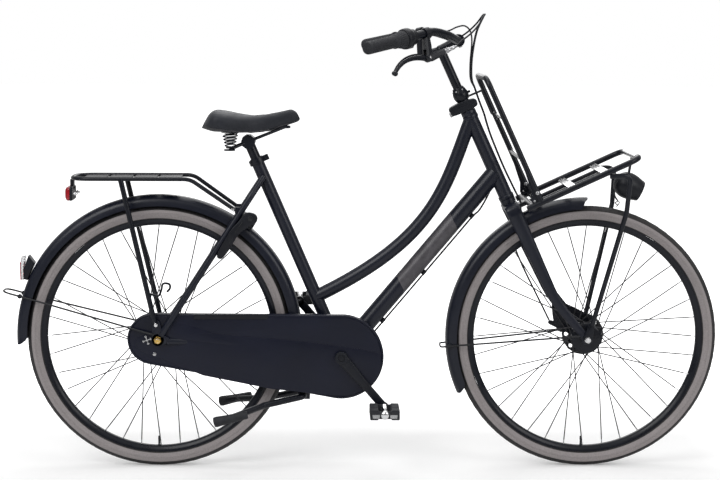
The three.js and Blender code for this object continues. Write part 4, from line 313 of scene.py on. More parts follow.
def skin(shape, rings, closed=False):
    """Joins rings of equal length into a closed skin."""
    size, base = len(rings[0]), len(shape.points)
    for ring in rings:
        shape.points.extend(ring)
    for k in range(len(rings) if closed else len(rings) - 1):
        a, b = base + k * size, base + (k + 1) % len(rings) * size
        for i in range(size):
            j = (i + 1) % size
            shape.faces.append((a + i, a + j, b + j, b + i))
    if not closed:
        shape.faces.append(tuple(base + i for i in reversed(range(size))))
        shape.faces.append(tuple(base + (len(rings) - 1) * size + i for i in range(size)))
    return shape


def tube(shape, points, radius, sides=20, closed=False, radii=None, round_end=0.0):
    """A round tube through points, with an optional radius at each one and eased ends."""
    frames = frames_along(points, closed)
    radii = radii or [radius] * len(points)
    rings = [circle(p, n, b, r, sides) for p, (t, n, b), r in zip(points, frames, radii)]
    if round_end:
        ends = []
        for at, inwards in ((0, 1), (-1, -1)):
            t, n, b = frames[at]
            rings[at] = [p + t * round_end * inwards for p in rings[at]]
            ends.append(circle(points[at], n, b, radii[at] - round_end, sides))
        rings = [ends[0], *rings, ends[1]]
    return skin(shape, rings, closed)


def rod(shape, a, b, radius, sides=20, round_end=0.0, radii=None):
    return tube(shape, [a, b], radius, sides, radii=radii, round_end=round_end)


def square_to(axis):
    first = X if abs(axis.x) < 0.9 else Z
    u = (first - axis * first.dot(axis)).normalized()
    return u, axis.cross(u)


def lathe(shape, profile, centre, axis=Y, segments=48, closed=False, start=0.0):
    """Turns (radius, offset) pairs about a line. An open profile gets flat caps at its ends."""
    axis = axis.normalized()
    u, w = square_to(axis)
    return skin(shape, [circle(centre + axis * o, u, w, r, segments, start) for r, o in profile], closed)


def ball(shape, centre, radius, high, segments, rings):
    """A ball whose poles lie on the Y axis, as high as told."""
    turns = [pi * k / rings for k in range(1, rings)]
    return lathe(shape, [(radius * sin(a), -high * cos(a)) for a in turns], centre, Y, segments)


def torus(shape, centre, axis, major, minor, segments, sides):
    return tube(shape, circle(centre, *square_to(axis), major, segments), minor, sides, closed=True)


def screw_head(shape, centre, axis, radius, height, sides):
    """A domed screw head."""
    shares = ((1, 0), (1, 0.5), (0.8, 0.85), (0.4, 1))
    profile = [(radius * r, height * h) for r, h in shares] + [(0.02, height)]
    return lathe(shape, profile, centre, axis, sides)


def hexagon(shape, centre, axis, radius, height, start):
    """A hexagonal nut with a bevelled face."""
    profile = [(radius, 0), (radius, height * 0.82), (radius * 0.87, height)]
    return lathe(shape, profile, centre, axis, 6, start=start + pi / 6)


def smooth_path(points, count):
    """A Catmull-Rom curve through points."""
    ext = [points[0] * 2 - points[1], *points, points[-1] * 2 - points[-2]]
    spans = len(points) - 1
    out = []
    for k in range(count + 1):
        s = min(k / count * spans, spans - 1e-9)
        i = int(s)
        t = s - i
        a, b, c, d = ext[i : i + 4]
        bend = (2 * a - 5 * b + 4 * c - d) * t * t + (3 * b - a - 3 * c + d) * t * t * t
        out.append(0.5 * (2 * b + (c - a) * t + bend))
    return out


def bend_at(a, b, c, t):
    """A point of the curve that leaves a and reaches c, drawn towards b."""
    return a * (1 - t) ** 2 + b * 2 * t * (1 - t) + c * t * t


def rounded(points, radius, chords=6):
    """Straight runs between corner points, with each inner corner rounded."""
    stations = [points[0]]
    for before, corner, after in zip(points, points[1:], points[2:]):
        into, out = corner - before, after - corner
        limit = min(into.length, out.length) * 0.49
        reach = min(radius * tan(into.angle(out) / 2), limit)
        start, end = corner - into.normalized() * reach, corner + out.normalized() * reach
        stations += [bend_at(start, corner, end, k / chords) for k in range(chords + 1)]
    return [*stations, points[-1]]


def denser(points, most):
    out = [points[0]]
    for a, b in zip(points, points[1:]):
        count = max(1, ceil((b - a).length / most))
        out.extend(a.lerp(b, (i + 1) / count) for i in range(count))
    return out


def lengths_along(points):
    lengths = [0.0]
    for a, b in zip(points, points[1:]):
        lengths.append(lengths[-1] + (b - a).length)
    return lengths


def mirrored(points):
    return [V(p.x, -p.y, p.z) for p in points]


def both_sides(points):
    return [*points, *reversed(mirrored(points))]


def flat(points):
    return [(p.x, p.z) for p in points]


def rounded_outline(outline):
    """Cuts the corners of a closed outline in the plane, twice over."""
    for _ in range(2):
        pairs = zip(outline, outline[1:] + outline[:1])
        outline = [(lerp(ax, bx, t), lerp(az, bz, t)) for (ax, az), (bx, bz) in pairs for t in (0.22, 0.78)]
    return outline


def inset(outline, amount):
    """Moves each corner of a closed outline of (x, z) pairs inwards."""
    following = outline[1:] + outline[:1]
    turn = copysign(1, sum(ax * bz - bx * az for (ax, az), (bx, bz) in zip(outline, following)))
    inwards = []
    for (ax, az), (bx, bz) in zip(outline, following):
        length = hypot(bx - ax, bz - az) or 1e-9
        inwards.append(((az - bz) / length * turn, (bx - ax) / length * turn))
    result = []
    for (x, z), (x1, z1), (x2, z2) in zip(outline, inwards[-1:] + inwards[:-1], inwards):
        length = hypot(x1 + x2, z1 + z2) or 1e-9
        nx, nz = (x1 + x2) / length, (z1 + z2) / length
        share = max(0.35, nx * x1 + nz * z1)
        result.append((x + nx * amount / share, z + nz * amount / share))
    return result


def slab(shape, outline, y0, y1, bevel=1.0, steps=3):
    """A plate with an outline in X and Z between two Y values, with rounded edges."""
    turns = [pi / 2 * k / steps for k in range(steps + 1)]
    levels = [(a, y0 + bevel * (1 - cos(a))) for a in turns]
    levels += [(a, y1 - bevel * (1 - cos(a))) for a in reversed(turns)]
    return skin(shape, [[V(x, y, z) for x, z in inset(outline, bevel * (1 - sin(a)))] for a, y in levels])


def round_two(left, left_radius, right_, right_radius, steps=16):
    """The outline round two circles given as (x, z), with tangents between them."""
    across, rise = right_[0] - left[0], right_[1] - left[1]
    lean = acos((left_radius - right_radius) / hypot(across, rise))
    base = atan2(rise, across)
    arcs = [(right_, right_radius, base - lean, 2 * lean)]
    arcs.append((left, left_radius, base + lean, 2 * pi - 2 * lean))
    corners = []
    for (x, z), radius, start, span in arcs:
        turns = [start + span * i / steps for i in range(steps + 1)]
        corners += [(x + radius * cos(a), z + radius * sin(a)) for a in turns]
    return corners


def bar_section(width, height, corner, steps=3):
    """A rounded rectangle of (x, y) pairs."""
    x, y = width / 2 - corner, height / 2 - corner
    pairs = []
    for sx, sy, start in ((1, 1, 0), (-1, 1, 90), (-1, -1, 180), (1, -1, 270)):
        turns = [radians(start + 90 * k / steps) for k in range(steps + 1)]
        pairs += [(sx * x + corner * cos(a), sy * y + corner * sin(a)) for a in turns]
    return pairs


def sweep(shape, points, section, side):
    """Moves a section of (along side, square to side) pairs along points."""
    frames = frames_along(points, side=side)
    return skin(shape, [[p + n * x + b * y for x, y in section] for p, (t, n, b) in zip(points, frames)])


def smooth_faces(mesh, angle):
    mesh.polygons.foreach_set("use_smooth", [True] * len(mesh.polygons))
    if angle:
        mesh.set_sharp_from_angle(angle=radians(angle))


def edit(mesh, change):
    work = bmesh.new()
    work.from_mesh(mesh)
    change(work)
    work.to_mesh(mesh)
    work.free()


def piece(name, shapes, body, replaces=(), angle=38, ride=True):
    """Makes one object of several shapes, rides it on a body and hides the nodes it stands for."""
    shapes = [shapes] if isinstance(shapes, Shape) else shapes
    mesh = bpy.data.meshes.new(name)
    names = list(dict.fromkeys(s.material for s in shapes))
    points, faces, indices = [], [], []
    for s in shapes:
        faces += [tuple(len(points) + i for i in face) for face in s.faces]
        points += [tuple(row(p)) for p in s.points]
        indices += [names.index(s.material)] * len(s.faces)
    mesh.from_pydata(points, [], faces)
    for n in names:
        mesh.materials.append(MATERIALS[n])
    mesh.polygons.foreach_set("material_index", indices)
    edit(mesh, lambda work: bmesh.ops.recalc_face_normals(work, faces=work.faces))
    smooth_faces(mesh, angle)
    made = placed(name, mesh)
    if ride:
        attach(made, body)
    if replaces:
        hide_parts(*replaces)
    return made


def apply_modifiers(obj):
    bpy.context.view_layer.update()
    graph = bpy.context.evaluated_depsgraph_get()
    fresh = bpy.data.meshes.new_from_object(obj.evaluated_get(graph))
    obj.modifiers.clear()
    obj.data = fresh


def modify(obj, kind, **values):
    """Adds a modifier, sets its values and applies it."""
    made = obj.modifiers.new(kind.lower(), kind)
    for key, value in values.items():
        setattr(made, key, value)
    apply_modifiers(obj)


def clean(work):
    bmesh.ops.remove_doubles(work, verts=work.verts, dist=2e-5)
    bmesh.ops.dissolve_limit(work, angle_limit=radians(0.6), verts=work.verts, edges=work.edges)


def dressed(node, material, body, angle=50, bevel=0.0):
    """A smooth copy of a node with small rounded edges, which stands for it."""
    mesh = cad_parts[node].data.copy()
    edit(mesh, clean)
    mesh.materials.clear()
    mesh.materials.append(MATERIALS[material])
    mesh.polygons.foreach_set("material_index", [0] * len(mesh.polygons))
    made = placed(node + "_skin", mesh)
    if bevel > 0:
        edges = {"limit_method": "ANGLE", "angle_limit": radians(angle), "use_clamp_overlap": True}
        modify(made, "BEVEL", width=bevel * MM, segments=2, **edges)
    smooth_faces(made.data, angle)
    made.modifiers.new("weights", "WEIGHTED_NORMAL").keep_sharp = True
    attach(made, body)
    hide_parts(node)


# Places shared with the CAD

WHEELBASE, RADIUS = 1150.0, 356.0
HEAD, SEAT = radians(65.3), radians(66.5)
rear, front, crank = V(0, 0, RADIUS), V(WHEELBASE, 0, RADIUS), V(489.5, 0, 308)
head_up, head_forward = V(-cos(HEAD), 0, sin(HEAD)), V(sin(HEAD), 0, cos(HEAD))
seat_up, seat_forward = V(-cos(SEAT), 0, sin(SEAT)), V(sin(SEAT), 0, cos(SEAT))
RAKE, STAY_TOP = 40, 525
head_foot = front - head_forward * RAKE


def at_y(p, y):
    return V(p.x, y, p.z)


def steer(along, ahead=0.0, left=0.0):
    return at_y(head_foot + head_up * along + head_forward * ahead, left)


def seat_line(along, ahead=0.0, left=0.0):
    return at_y(crank + seat_up * along + seat_forward * ahead, left)


stay_top = seat_line(STAY_TOP)
stay_length = (rear - stay_top).length
stay_down = (rear - stay_top).normalized()
stay_ahead = V(-stay_down.z, 0, stay_down.x)


def on_stay(down, left, ahead=0.0):
    return at_y(stay_top + stay_down * down + stay_ahead * ahead, left)


def turned(centre, radius, a, y=0.0):
    return V(centre.x + radius * cos(a), y, centre.z + radius * sin(a))


def mirror(pairs):
    return [(a, -b) for a, b in reversed(pairs)]


def rectangle(x0, x1, z0, z1):
    return [(x0, z0), (x1, z0), (x1, z1), (x0, z1)]


# Wheels. Profiles are (radius, distance from the middle).

SPOKES, CROSSES, STAGGER, ROOT, WIRE = 36, 3, 1.3, 3.5, 1.5
RIM_IN, RIM_OUT, BEAD = 301.5, 318.0, 318.3
BLOCKS, BLOCK_STEPS, SHOULDER_CUT, CROWN_CUT = 72, 4, 1.5, 0.7
TYRE_WALL = [
    (BEAD, 14.0), (321.5, 15.6), (325.0, 18.6), (330.0, 21.6), (336.0, 23.4), (341.0, 22.9), (345.5, 20.6),
    (348.6, 17.6),
]
TYRE_TREAD = [(351.6, 14.4), (353.9, 10.5), (355.4, 5.6), (355.9, 1.6)]
TYRE_INSIDE = [(347.5, 10.0), (341.0, 17.0), (333.0, 18.6), (325.0, 15.0), (BEAD, 10.5)]
RIM_HALF = [
    (RIM_IN, 4.0), (302.4, 6.6), (305.0, 9.0), (310.5, 12.6), (313.5, 13.7), (317.6, 14.0), (RIM_OUT, 13.2),
    (317.6, 12.2), (313.5, 11.8), (311.2, 9.0),
]
VALVE = [(3.4, 0), (3.4, 3), (2.7, 5), (2.6, 16), (3.1, 17), (3.1, 25), (2.4, 27)]
REAR_HUB = [
    (6.1, -32.2), (45.2, -32.2), (46, -31.4), (46, -28.6), (45, -27.8), (38, -27), (34.6, -24.5),
    (34, -21), (34, 21),
    (34.6, 24.5), (38, 27), (45, 27.8), (46, 28.6), (46, 31.2), (40.6, 33.2), (40, 35), (6.1, 35),
]
FRONT_HUB = [
    (5.3, -39.6), (20, -40), (25, -39.4), (35, -37.8), (39.6, -36.4), (41, -35), (41, -26), (40.2, -24.8),
    (33, -23.6), (27, -21.6), (26, -19.2), (26, 17), (27, 19.4), (31, 21.4), (37.4, 22.8), (38, 23.6),
    (38, 26.6),
    (37, 27.4), (31, 30), (5.3, 31),
]
HUB_CAP = [(5.4, -40.6), (13, -40.6), (14, -40.2), (14, -39.4), (5.4, -39.4)]


def tyre_mesh(name, centre, body, node):
    half = TYRE_WALL + TYRE_TREAD
    ring = half + mirror(half) + mirror(TYRE_INSIDE) + TYRE_INSIDE
    treads = range(len(TYRE_WALL), len(TYRE_WALL) + 2 * len(TYRE_TREAD))
    rows = []
    for k, (r, y) in enumerate(ring):
        row_points = []
        for i, a in enumerate(angles(BLOCKS * BLOCK_STEPS)):
            shift = 2 if (y > 0) == (k % 2 == 0) else 0
            depth = SHOULDER_CUT if k in (*treads[:2], *treads[-2:]) else CROWN_CUT
            in_groove = k in treads and (i + shift) % BLOCK_STEPS < 2
            row_points.append(turned(centre, r - (depth if in_groove else 0), a, y))
        rows.append(row_points)
    mesh = piece(name, skin(Shape("tyre_rubber"), rows, closed=True), body, [node], angle=50).data
    # The material reads radius, angle and width in metres from each corner of a face.
    facts = mesh.attributes.new("tyre", "FLOAT_VECTOR", "CORNER")
    middle = row(centre)
    values = []
    for face in mesh.polygons:
        spots = [mesh.vertices[mesh.loops[i].vertex_index].co for i in face.loop_indices]
        turns = [atan2(p.z - middle.z, p.x - middle.x) % (2 * pi) for p in spots]
        if max(turns) - min(turns) > pi:
            turns = [t + 2 * pi if t < pi else t for t in turns]
        for p, t in zip(spots, turns):
            values += (hypot(p.x - middle.x, p.z - middle.z), t, p.y)
    facts.data.foreach_set("vector", values)


def wheel_mesh(name, centre, body, node, flange, hub_right, hub_left, hub):
    rim, wires, nipples, valve = (Shape(m) for m in ("black_metal", "spoke_steel", "steel", "black_rubber"))
    lathe(rim, [*RIM_HALF, (311.0, 0.0), *mirror(RIM_HALF)], centre, segments=144, closed=True)
    per_side = SPOKES // 2
    step = 2 * pi / per_side
    for side, flange_y in ((-1, -hub_right), (1, hub_left)):
        for i in range(per_side):
            sense = -1 if i % 2 else 1
            hub_angle = (i if side < 0 else i + 0.5) * step
            stagger = side * sense * STAGGER
            a = turned(centre, flange - ROOT, hub_angle, flange_y + stagger)
            b = turned(centre, RIM_IN + 1.5, hub_angle + sense * CROSSES * step, side * 2 * STAGGER + stagger)
            rod(wires, a, b, WIRE, 8)
            rod(nipples, b - (b - a).normalized() * 13, b, WIRE, 8, radii=[WIRE, 1.9])
            screw_head(nipples, a + Y * (side * sense * 0.8), Y * (side * sense), 1.9, 1.1, 8)
    foot = turned(centre, RIM_IN + 2, radians(269))
    lathe(valve, VALVE, foot, centre - foot, 20)
    piece(name, [rim, wires, nipples, valve, *hub], body, [node], angle=40)


rear_hub = lathe(Shape("steel"), REAR_HUB, rear, segments=64, closed=True)
front_hub = lathe(Shape("black_metal"), FRONT_HUB, front, segments=64, closed=True)
front_cap = lathe(Shape("steel"), HUB_CAP, front, segments=40, closed=True)
wheel_mesh("rear_wheel_laced", rear, "rear_wheel", "rear_wheel", 46, 30, 30, [rear_hub])
wheel_mesh("front_wheel_laced", front, "front_wheel", "front_wheel", 38, 27, 25, [front_hub, front_cap])
tyre_mesh("rear_tyre_rubber", rear, "rear_wheel", "rear_tyre")
tyre_mesh("front_tyre_rubber", front, "front_wheel", "front_tyre")

# Main frame

TOP_TUBE, DOWN_TUBE, SEAT_TUBE, STAY, BRIDGE = 18.2, 24, 17.2, 9, 6
PLATE, FOOT_SHORT, BRIDGE_DOWN, FLAT_END = 6, 12, 104, 34
HEAD_TUBE = [
    (15.6, 0), (20.6, 0), (21, 0.5), (21, 9), (20.4, 10.2), (19, 11), (19, 235), (20.4, 235.8), (21, 237),
    (21, 245.5),
    (20.6, 246), (15.6, 246),
]
BRACKET_SHELL = [(18.4, -35), (23.4, -35), (24, -34.3), (24, 34.3), (23.4, 35), (18.4, 35)]
STAND_PLATE = [(373, 185), (405, 185), (411, 301), (411, 312), (367, 312), (367, 301)]
PANEL_FROM, PANEL_TO, PANEL_SLANT, PANEL_HALF_TURN = 0.268, 0.612, 0.0165, 62

frame_shapes = Shape("frame_paint")
start, end = steer(668), seat_line(170)
lean1, lean2 = radians(70), radians(26)
leave = start + V(-cos(lean1), 0, -sin(lean1)) * 200
arrive = end + V(cos(lean2), 0, sin(lean2)) * 360
top_path = []
for k in range(45):
    t = k / 44
    s = 1 - t
    top_path.append(start * s**3 + leave * 3 * s * s * t + arrive * 3 * s * t * t + end * t**3)
tube(frame_shapes, top_path, TOP_TUBE, 32)
down_start = steer(508)
down_length, down_axis = (crank - down_start).length, (crank - down_start).normalized()
down_under = V(-down_axis.z, 0, down_axis.x)
rod(frame_shapes, down_start, crank, DOWN_TUBE, 40)
rod(frame_shapes, crank, seat_line(578), SEAT_TUBE, 32)
lathe(frame_shapes, HEAD_TUBE, steer(431), head_up, 40, closed=True)
lathe(frame_shapes, BRACKET_SHELL, crank, Y, 40, closed=True)
stay_foot = stay_length - FOOT_SHORT
bridge_half = lerp(43, 67, (BRIDGE_DOWN - 62) / (stay_foot - 62))
lug = on_stay(BRIDGE_DOWN, 0)


def down_at(share):
    return down_start + down_axis * down_length * share


def tube_flat_end(shape, points, radius):
    """A tube whose last stretch is pressed flat where it meets the plate."""
    lengths = lengths_along(points)
    rings = []
    for p, along, (t, n, b) in zip(points, lengths, frames_along(points)):
        press = 0.55 + 0.45 * min(1, (lengths[-1] - along) / FLAT_END)
        rings.append([V(q.x, p.y + (q.y - p.y) * press, q.z) for q in circle(p, n, b, radius, 20)])
    skin(shape, rings)


for side, word in SIDES:
    chain_run = ((477.5, 24, 308), (405, 30, 317), (300, 45, 326), (105, 45, 347), (22, 67, 351.5))
    chain_stay = rounded([V(x, side * y, z) for x, y, z in chain_run], 60)
    seat_run = ((0, 19), (62, 43), (stay_foot, 67))
    seat_stay = rounded([on_stay(down, side * y) for down, y in seat_run], 40)
    for stay in (chain_stay, seat_stay):
        tube_flat_end(frame_shapes, denser(stay, 17), STAY)
    y0 = -70 if side < 0 else 64
    for eyelet, radius in (((-4, RADIUS + 43), 10), ((22, RADIUS), 8.5)):
        slab(frame_shapes, round_two((0, RADIUS), 17, eyelet, radius), y0, y0 + PLATE, 0.8)
    lug_side = rectangle(lug.x - 19, lug.x, lug.z - 8, lug.z + 8)
    slab(frame_shapes, lug_side, side * bridge_half - 3.5, side * bridge_half + 3.5, 0.8)
rod(frame_shapes, at_y(lug, -bridge_half), at_y(lug, bridge_half), BRIDGE)
rod(frame_shapes, lug, on_stay(stay_length - 384.3, 0), BRIDGE)
slab(frame_shapes, STAND_PLATE, -19, 19, 1.2)
slab(frame_shapes, rectangle(367, 411, 301, 312), -32, 32, 1)
# Weld beads where the top tube meets the others.
for a, b in ((seat_line(170), top_path[-3]), (steer(664), top_path[2])):
    axis = (b - a).normalized()
    torus(frame_shapes, a + axis * 17.6, axis, 16.4, 1.6, 32, 10)
# The plain grey band round the down tube's outer side.
over = down_axis.cross(-Y).normalized()
rings = []
for k in range(15):
    ring = []
    for radius, order in ((DOWN_TUBE + 0.25, 1), (DOWN_TUBE - 1, -1)):
        for j in range(13)[::order]:
            share = (j - 6) / 6
            a = radians(PANEL_HALF_TURN * share)
            place = down_at(lerp(PANEL_FROM, PANEL_TO, k / 14) - PANEL_SLANT * share)
            ring.append(place + (over * sin(a) - Y * cos(a)) * radius)
    rings.append(ring)
piece("frame_tubes", frame_shapes, "frame", ["main_frame"], angle=42)
piece("down_tube_panel", skin(Shape("grey_panel"), rings), "frame", angle=42)

# Mudguards. Profiles are (height, distance from the middle).

GUARD_OUTSIDE = [(-30, 31), (-18, 30.4), (-11.6, 28.4), (-7, 25), (-3.5, 20), (-1.3, 14.5), (-0.3, 9), (0, 4)]
GUARD_INSIDE = [
    (-1.7, 4), (-2.0, 9), (-3.0, 14.2), (-5.2, 19.2), (-8.6, 23.8), (-12.6, 26.8), (-18.6, 28.6), (-30, 29.4),
]


def guard(name, centre, radius, start, end, steps, node, body, end_reach, cut_back):
    """A mudguard with eased ends. Its skirt may be cut back towards the second end."""
    rings = []
    span = radians(abs(end - start)) * radius
    for i in range(steps + 1):
        t = i / steps
        lift = 1.0
        for distance, reach in ((t * span, 26.0), ((1 - t) * span, end_reach)):
            if distance < reach:
                lift = min(lift, 0.38 + 0.62 * sqrt(max(0.0, 1 - (1 - distance / reach) ** 2)))
        ring = []
        for z, y in GUARD_OUTSIDE + mirror(GUARD_OUTSIDE) + mirror(GUARD_INSIDE) + GUARD_INSIDE:
            back = degrees(cut_back / radius) * max(0.0, 1 - (1 - t) * span / 60) * min(1.0, -z / 22)
            reach = radius + z * (lift if z < -8 else 1)
            ring.append(turned(centre, reach, radians(lerp(start, end, t) + back), y))
        rings.append(ring)
    piece(name, skin(Shape("frame_paint"), rings), body, [node], angle=45)


guard("rear_guard", rear, 384, 183, -1, 120, "rear_mudguard", "frame", 20.0, 0)
guard("front_guard", front, 379, 204, 90, 84, "front_mudguard", "steering", 0.5, 10)

# Fork, stem and bar

CROWN_AT, LEG_HALF = 418, 56
CROWN_HALF = [(-30, 68), (-14, 67.4), (-7, 64), (-2.4, 58), (0, 48)]
CROWN_ARCH = [(-15.4, 26), (-18, 34), (-24, 40), (-30, 42)]
STEM_CLAMP = [(11.5, -22), (16.2, -22), (17, -21.2), (17, 21.2), (16.2, 22), (11.5, 22)]
STEM_BOLT = [(2.2, 17.2), (2.2, 15.5), (4.3, 15.5), (4.6, 15.9), (4.6, 19.4), (4.2, 20)]
BAR_HALF, BAR_SWEEP, BAR_RISE, BAR_RADIUS = 300, 257, 23, 11.1
# Shares of the bar's half width, of its sweep back and of its rise.
BAR_SHARES = [
    (0.08, 0, 0), (0.13, 0.035, 0.15), (0.25, 0.125, 0.61), (0.383, 0.284, 1), (0.5, 0.455, 0.57),
    (0.55, 0.521, 0.35),
    (1, 1, -0.87),
]

fork_shape = Shape("frame_paint")
for side, word in SIDES:
    axle = at_y(front, side * LEG_HALF)
    kink = steer(128, 4, side * LEG_HALF)
    tip = axle.lerp(kink, 0.12)
    stations = denser(rounded([steer(CROWN_AT - 15, 0, side * LEG_HALF), kink, tip], 330, 14), 22)
    lengths = lengths_along(stations)
    rings = []
    for p, along, (t, n, b) in zip(stations, lengths, frames_along(stations, side=Y)):
        share = along / lengths[-1]
        wide = lerp(21, 15.6, share / 0.45) if share < 0.45 else lerp(15.6, 10.5, (share - 0.45) / 0.55)
        rings.append(circle(p, n * lerp(11.5, 3.0, share), b * wide, 1, 28))
    skin(fork_shape, rings)
    y0 = -59 if side < 0 else 53
    slab(fork_shape, round_two((front.x, front.z), 15, (tip.x, tip.z), 10.5), y0, y0 + PLATE, 0.9)
crown = [(y, z) for z, y in mirror(CROWN_ARCH) + CROWN_ARCH + CROWN_HALF + mirror(CROWN_HALF)]
rings = []
for k in range(9):
    share = lerp(-1, 1, k / 8)
    drop = lerp(3.2, 0.0, sqrt(1 - share**4))
    rings.append([steer(CROWN_AT + z, 20 * share, y) for y, z in inset(crown, drop)])
skin(fork_shape, rings)
crown_race = [(0.5, -2), (20.5, 0), (20.5, 12.2), (19.8, 12.7), (0.5, 12.7)]
lathe(fork_shape, crown_race, steer(CROWN_AT), head_up, 36)
lathe(fork_shape, [(12.5, 300), (14.3, 300), (14.3, 0), (12.5, 0)], steer(435), head_up, 32, closed=True)
rod(fork_shape, steer(405), front + (steer(405) - front).normalized() * 378.6, 6)
piece("fork_legs", fork_shape, "steering", ["fork"], angle=42)

bar_centre = steer(871, 52)
stem_shape = lathe(Shape("black_metal"), [(10.4, 606), (12.2, 606), (12.2, 867)], steer(0), head_up, 36)
ball(stem_shape, steer(868), 12.4, 12.4, 32, 20)
tube(stem_shape, [steer(868), steer(869.3, 20), steer(871, 38)], 12, 32, radii=[12, 11.4, 12.4])
lathe(stem_shape, STEM_CLAMP, bar_centre, Y, 44, closed=True)
stem_bolt = lathe(Shape("steel"), STEM_BOLT, bar_centre, -head_up, 20)
piece("stem_body", [stem_shape, stem_bolt], "steering", ["stem"], angle=40)


def bar_place(side, row_number):
    out, back, rise = BAR_SHARES[row_number]
    return bar_centre + V(-back * BAR_SWEEP, side * out * BAR_HALF, rise * BAR_RISE)


def grip_line(side):
    """The bar's tip and the direction from it along the grip."""
    return bar_place(side, -1), (bar_place(side, -2) - bar_place(side, -1)).normalized()


tip, axis = grip_line(1)
bar_left = [*smooth_path([bar_place(1, i) for i in range(len(BAR_SHARES) - 1)], 30), tip + axis * 15]
bar_path = [*reversed(mirrored(bar_left)), *bar_left[:-1], tip + axis * 27]
piece("bar_tube", tube(Shape("black_metal"), bar_path, BAR_RADIUS, 32), "steering", ["handlebar"], angle=40)

GRIP_RIBS = 17
for (side, word), cut, length in zip(SIDES, (12, 24), (126, 152)):
    profile = [(0.4, cut), (13.8, cut), (15.4, cut + 0.8), (16.0, cut + 2.4), (16.4, cut + 6)]
    w = (length - cut - 20) / GRIP_RIBS
    for i in range(GRIP_RIBS):
        o = cut + 8 + w * i
        profile += [(16.5, o), (16.5, o + w * 0.62), (16.0, o + w * 0.7), (16.0, o + w * 0.94)]
    rim = [(16.5, -11), (18.2, -8), (19, -6.4), (19, -1), (18.2, 0), (11.5, 0)]
    grip = lathe(Shape("black_rubber"), profile + [(r, length + o) for r, o in rim], *grip_line(side), 44)
    piece("grip_" + word + "_rubber", grip, "steering", ["grip_" + word], angle=35)

tip, axis = grip_line(-1)
u = (Z - axis * Z.dot(axis)).normalized()
w = axis.cross(u)
rings = []
for o, grow in ((126.8, -1.4), (127.6, -0.5), (131, 0), (148, 0), (152.6, -0.5), (153.8, -1.4)):
    base, rib = 17.6 + 6.2 * (o - 126.8) / 27 + grow, 0.6 if 129 < o < 150 else 0.18
    middle = tip + axis * o
    rings.append([middle + (u * cos(a) + w * sin(a)) * (base + rib * cos(24 * a)) for a in angles(96)])
piece("shifter_sleeve", skin(Shape("black_rubber"), rings), "shifter", ["twist_shifter"], angle=35)
SHIFTER_CASE = [
    (12, 0), (23.4, 0), (25.0, 0.8), (26.4, 3.0), (27, 7), (27, 17), (26.0, 21), (23.4, 24), (21.6, 25.4),
    (21.0, 30),
    (20.6, 40), (18.4, 41.6), (12, 41.6),
]
case_foot = tip + axis * 154.6
housing = lathe(Shape("black_plastic"), SHIFTER_CASE, case_foot, axis, 56)
sweep(housing, [case_foot + axis * o - u * 14 for o in (6, 24)], bar_section(28, 24, 6, 4), w)
piece("shifter_case", housing, "steering", ["shifter_housing"])

# Brake levers

LEVER_BEND = {-1: ((645, 195, 1118), (622, 240, 1070)), 1: ((655, 195, 1111), (637, 240, 1058))}
PIVOT_RING = [(3.75, -4.5), (9.4, -4.5), (10, -3.9), (10, 3.9), (9.4, 4.5), (3.75, 4.5)]
for side, word in SIDES:
    pivot, outlet = V(709, side * 150, 1107), V(752, side * 137, 1125)
    bend, tip = (V(x, side * y, z) for x, y, z in LEVER_BEND[side])
    middle = bar_place(side, 3).lerp(bar_place(side, 4), 0.45)
    normal = (bend - pivot).cross(middle - pivot).normalized()
    stations = [bend_at(pivot, bend, tip, k / 24) for k in range(25)]
    rings = []
    for k, (p, (t, n, b)) in enumerate(zip(stations, frames_along(stations, side=normal))):
        s = k / 24
        high = lerp(8.6, 3.9, s) * (1 - 0.12 * sin(pi * s))
        rings.append(circle(p, n * lerp(5.0, 3.6, s), b * high, 1, 20))
    blade = skin(Shape("black_metal"), rings)
    ball(blade, tip, 6.8, 6.8, 24, 16)
    lathe(blade, PIVOT_RING, pivot, normal, 32, closed=True)
    piece("lever_blade_" + word, blade, "lever_" + word, ["brake_lever_" + word], angle=40)
    dressed("brake_bracket_" + word, "black_plastic", "steering", 42, 0.6)
    beyond = (outlet - pivot).normalized()
    profile = [(2.8, 0), (7.0, 0), (7.4, 0.6)]
    for i in range(5):
        profile += [(7.4, 1.2 + i * 1.6), (6.8, 1.7 + i * 1.6), (7.4, 2.4 + i * 1.6)]
    profile += [(7.4, 9.6), (6.2, 10.2), (5.75, 14.8), (2.8, 15.2)]
    bits = lathe(Shape("steel"), profile, outlet + beyond * 1.5, beyond, 28, closed=True)
    for turn in (1, -1):
        screw_head(bits, pivot + normal * 12.2 * turn, normal * turn, 3.6, 1.6, 20)
    piece("lever_hardware_" + word, bits, "steering")

# Headset and steering lock

HEADSET_NUT = [
    (14.7, 0), (16.6, 0), (18.4, 2.6), (20.2, 8), (21, 12.3), (21, 18.5), (20.4, 22), (18.6, 27), (16.6, 32),
    (15.4, 36), (14.8, 37), (12.6, 37),
]
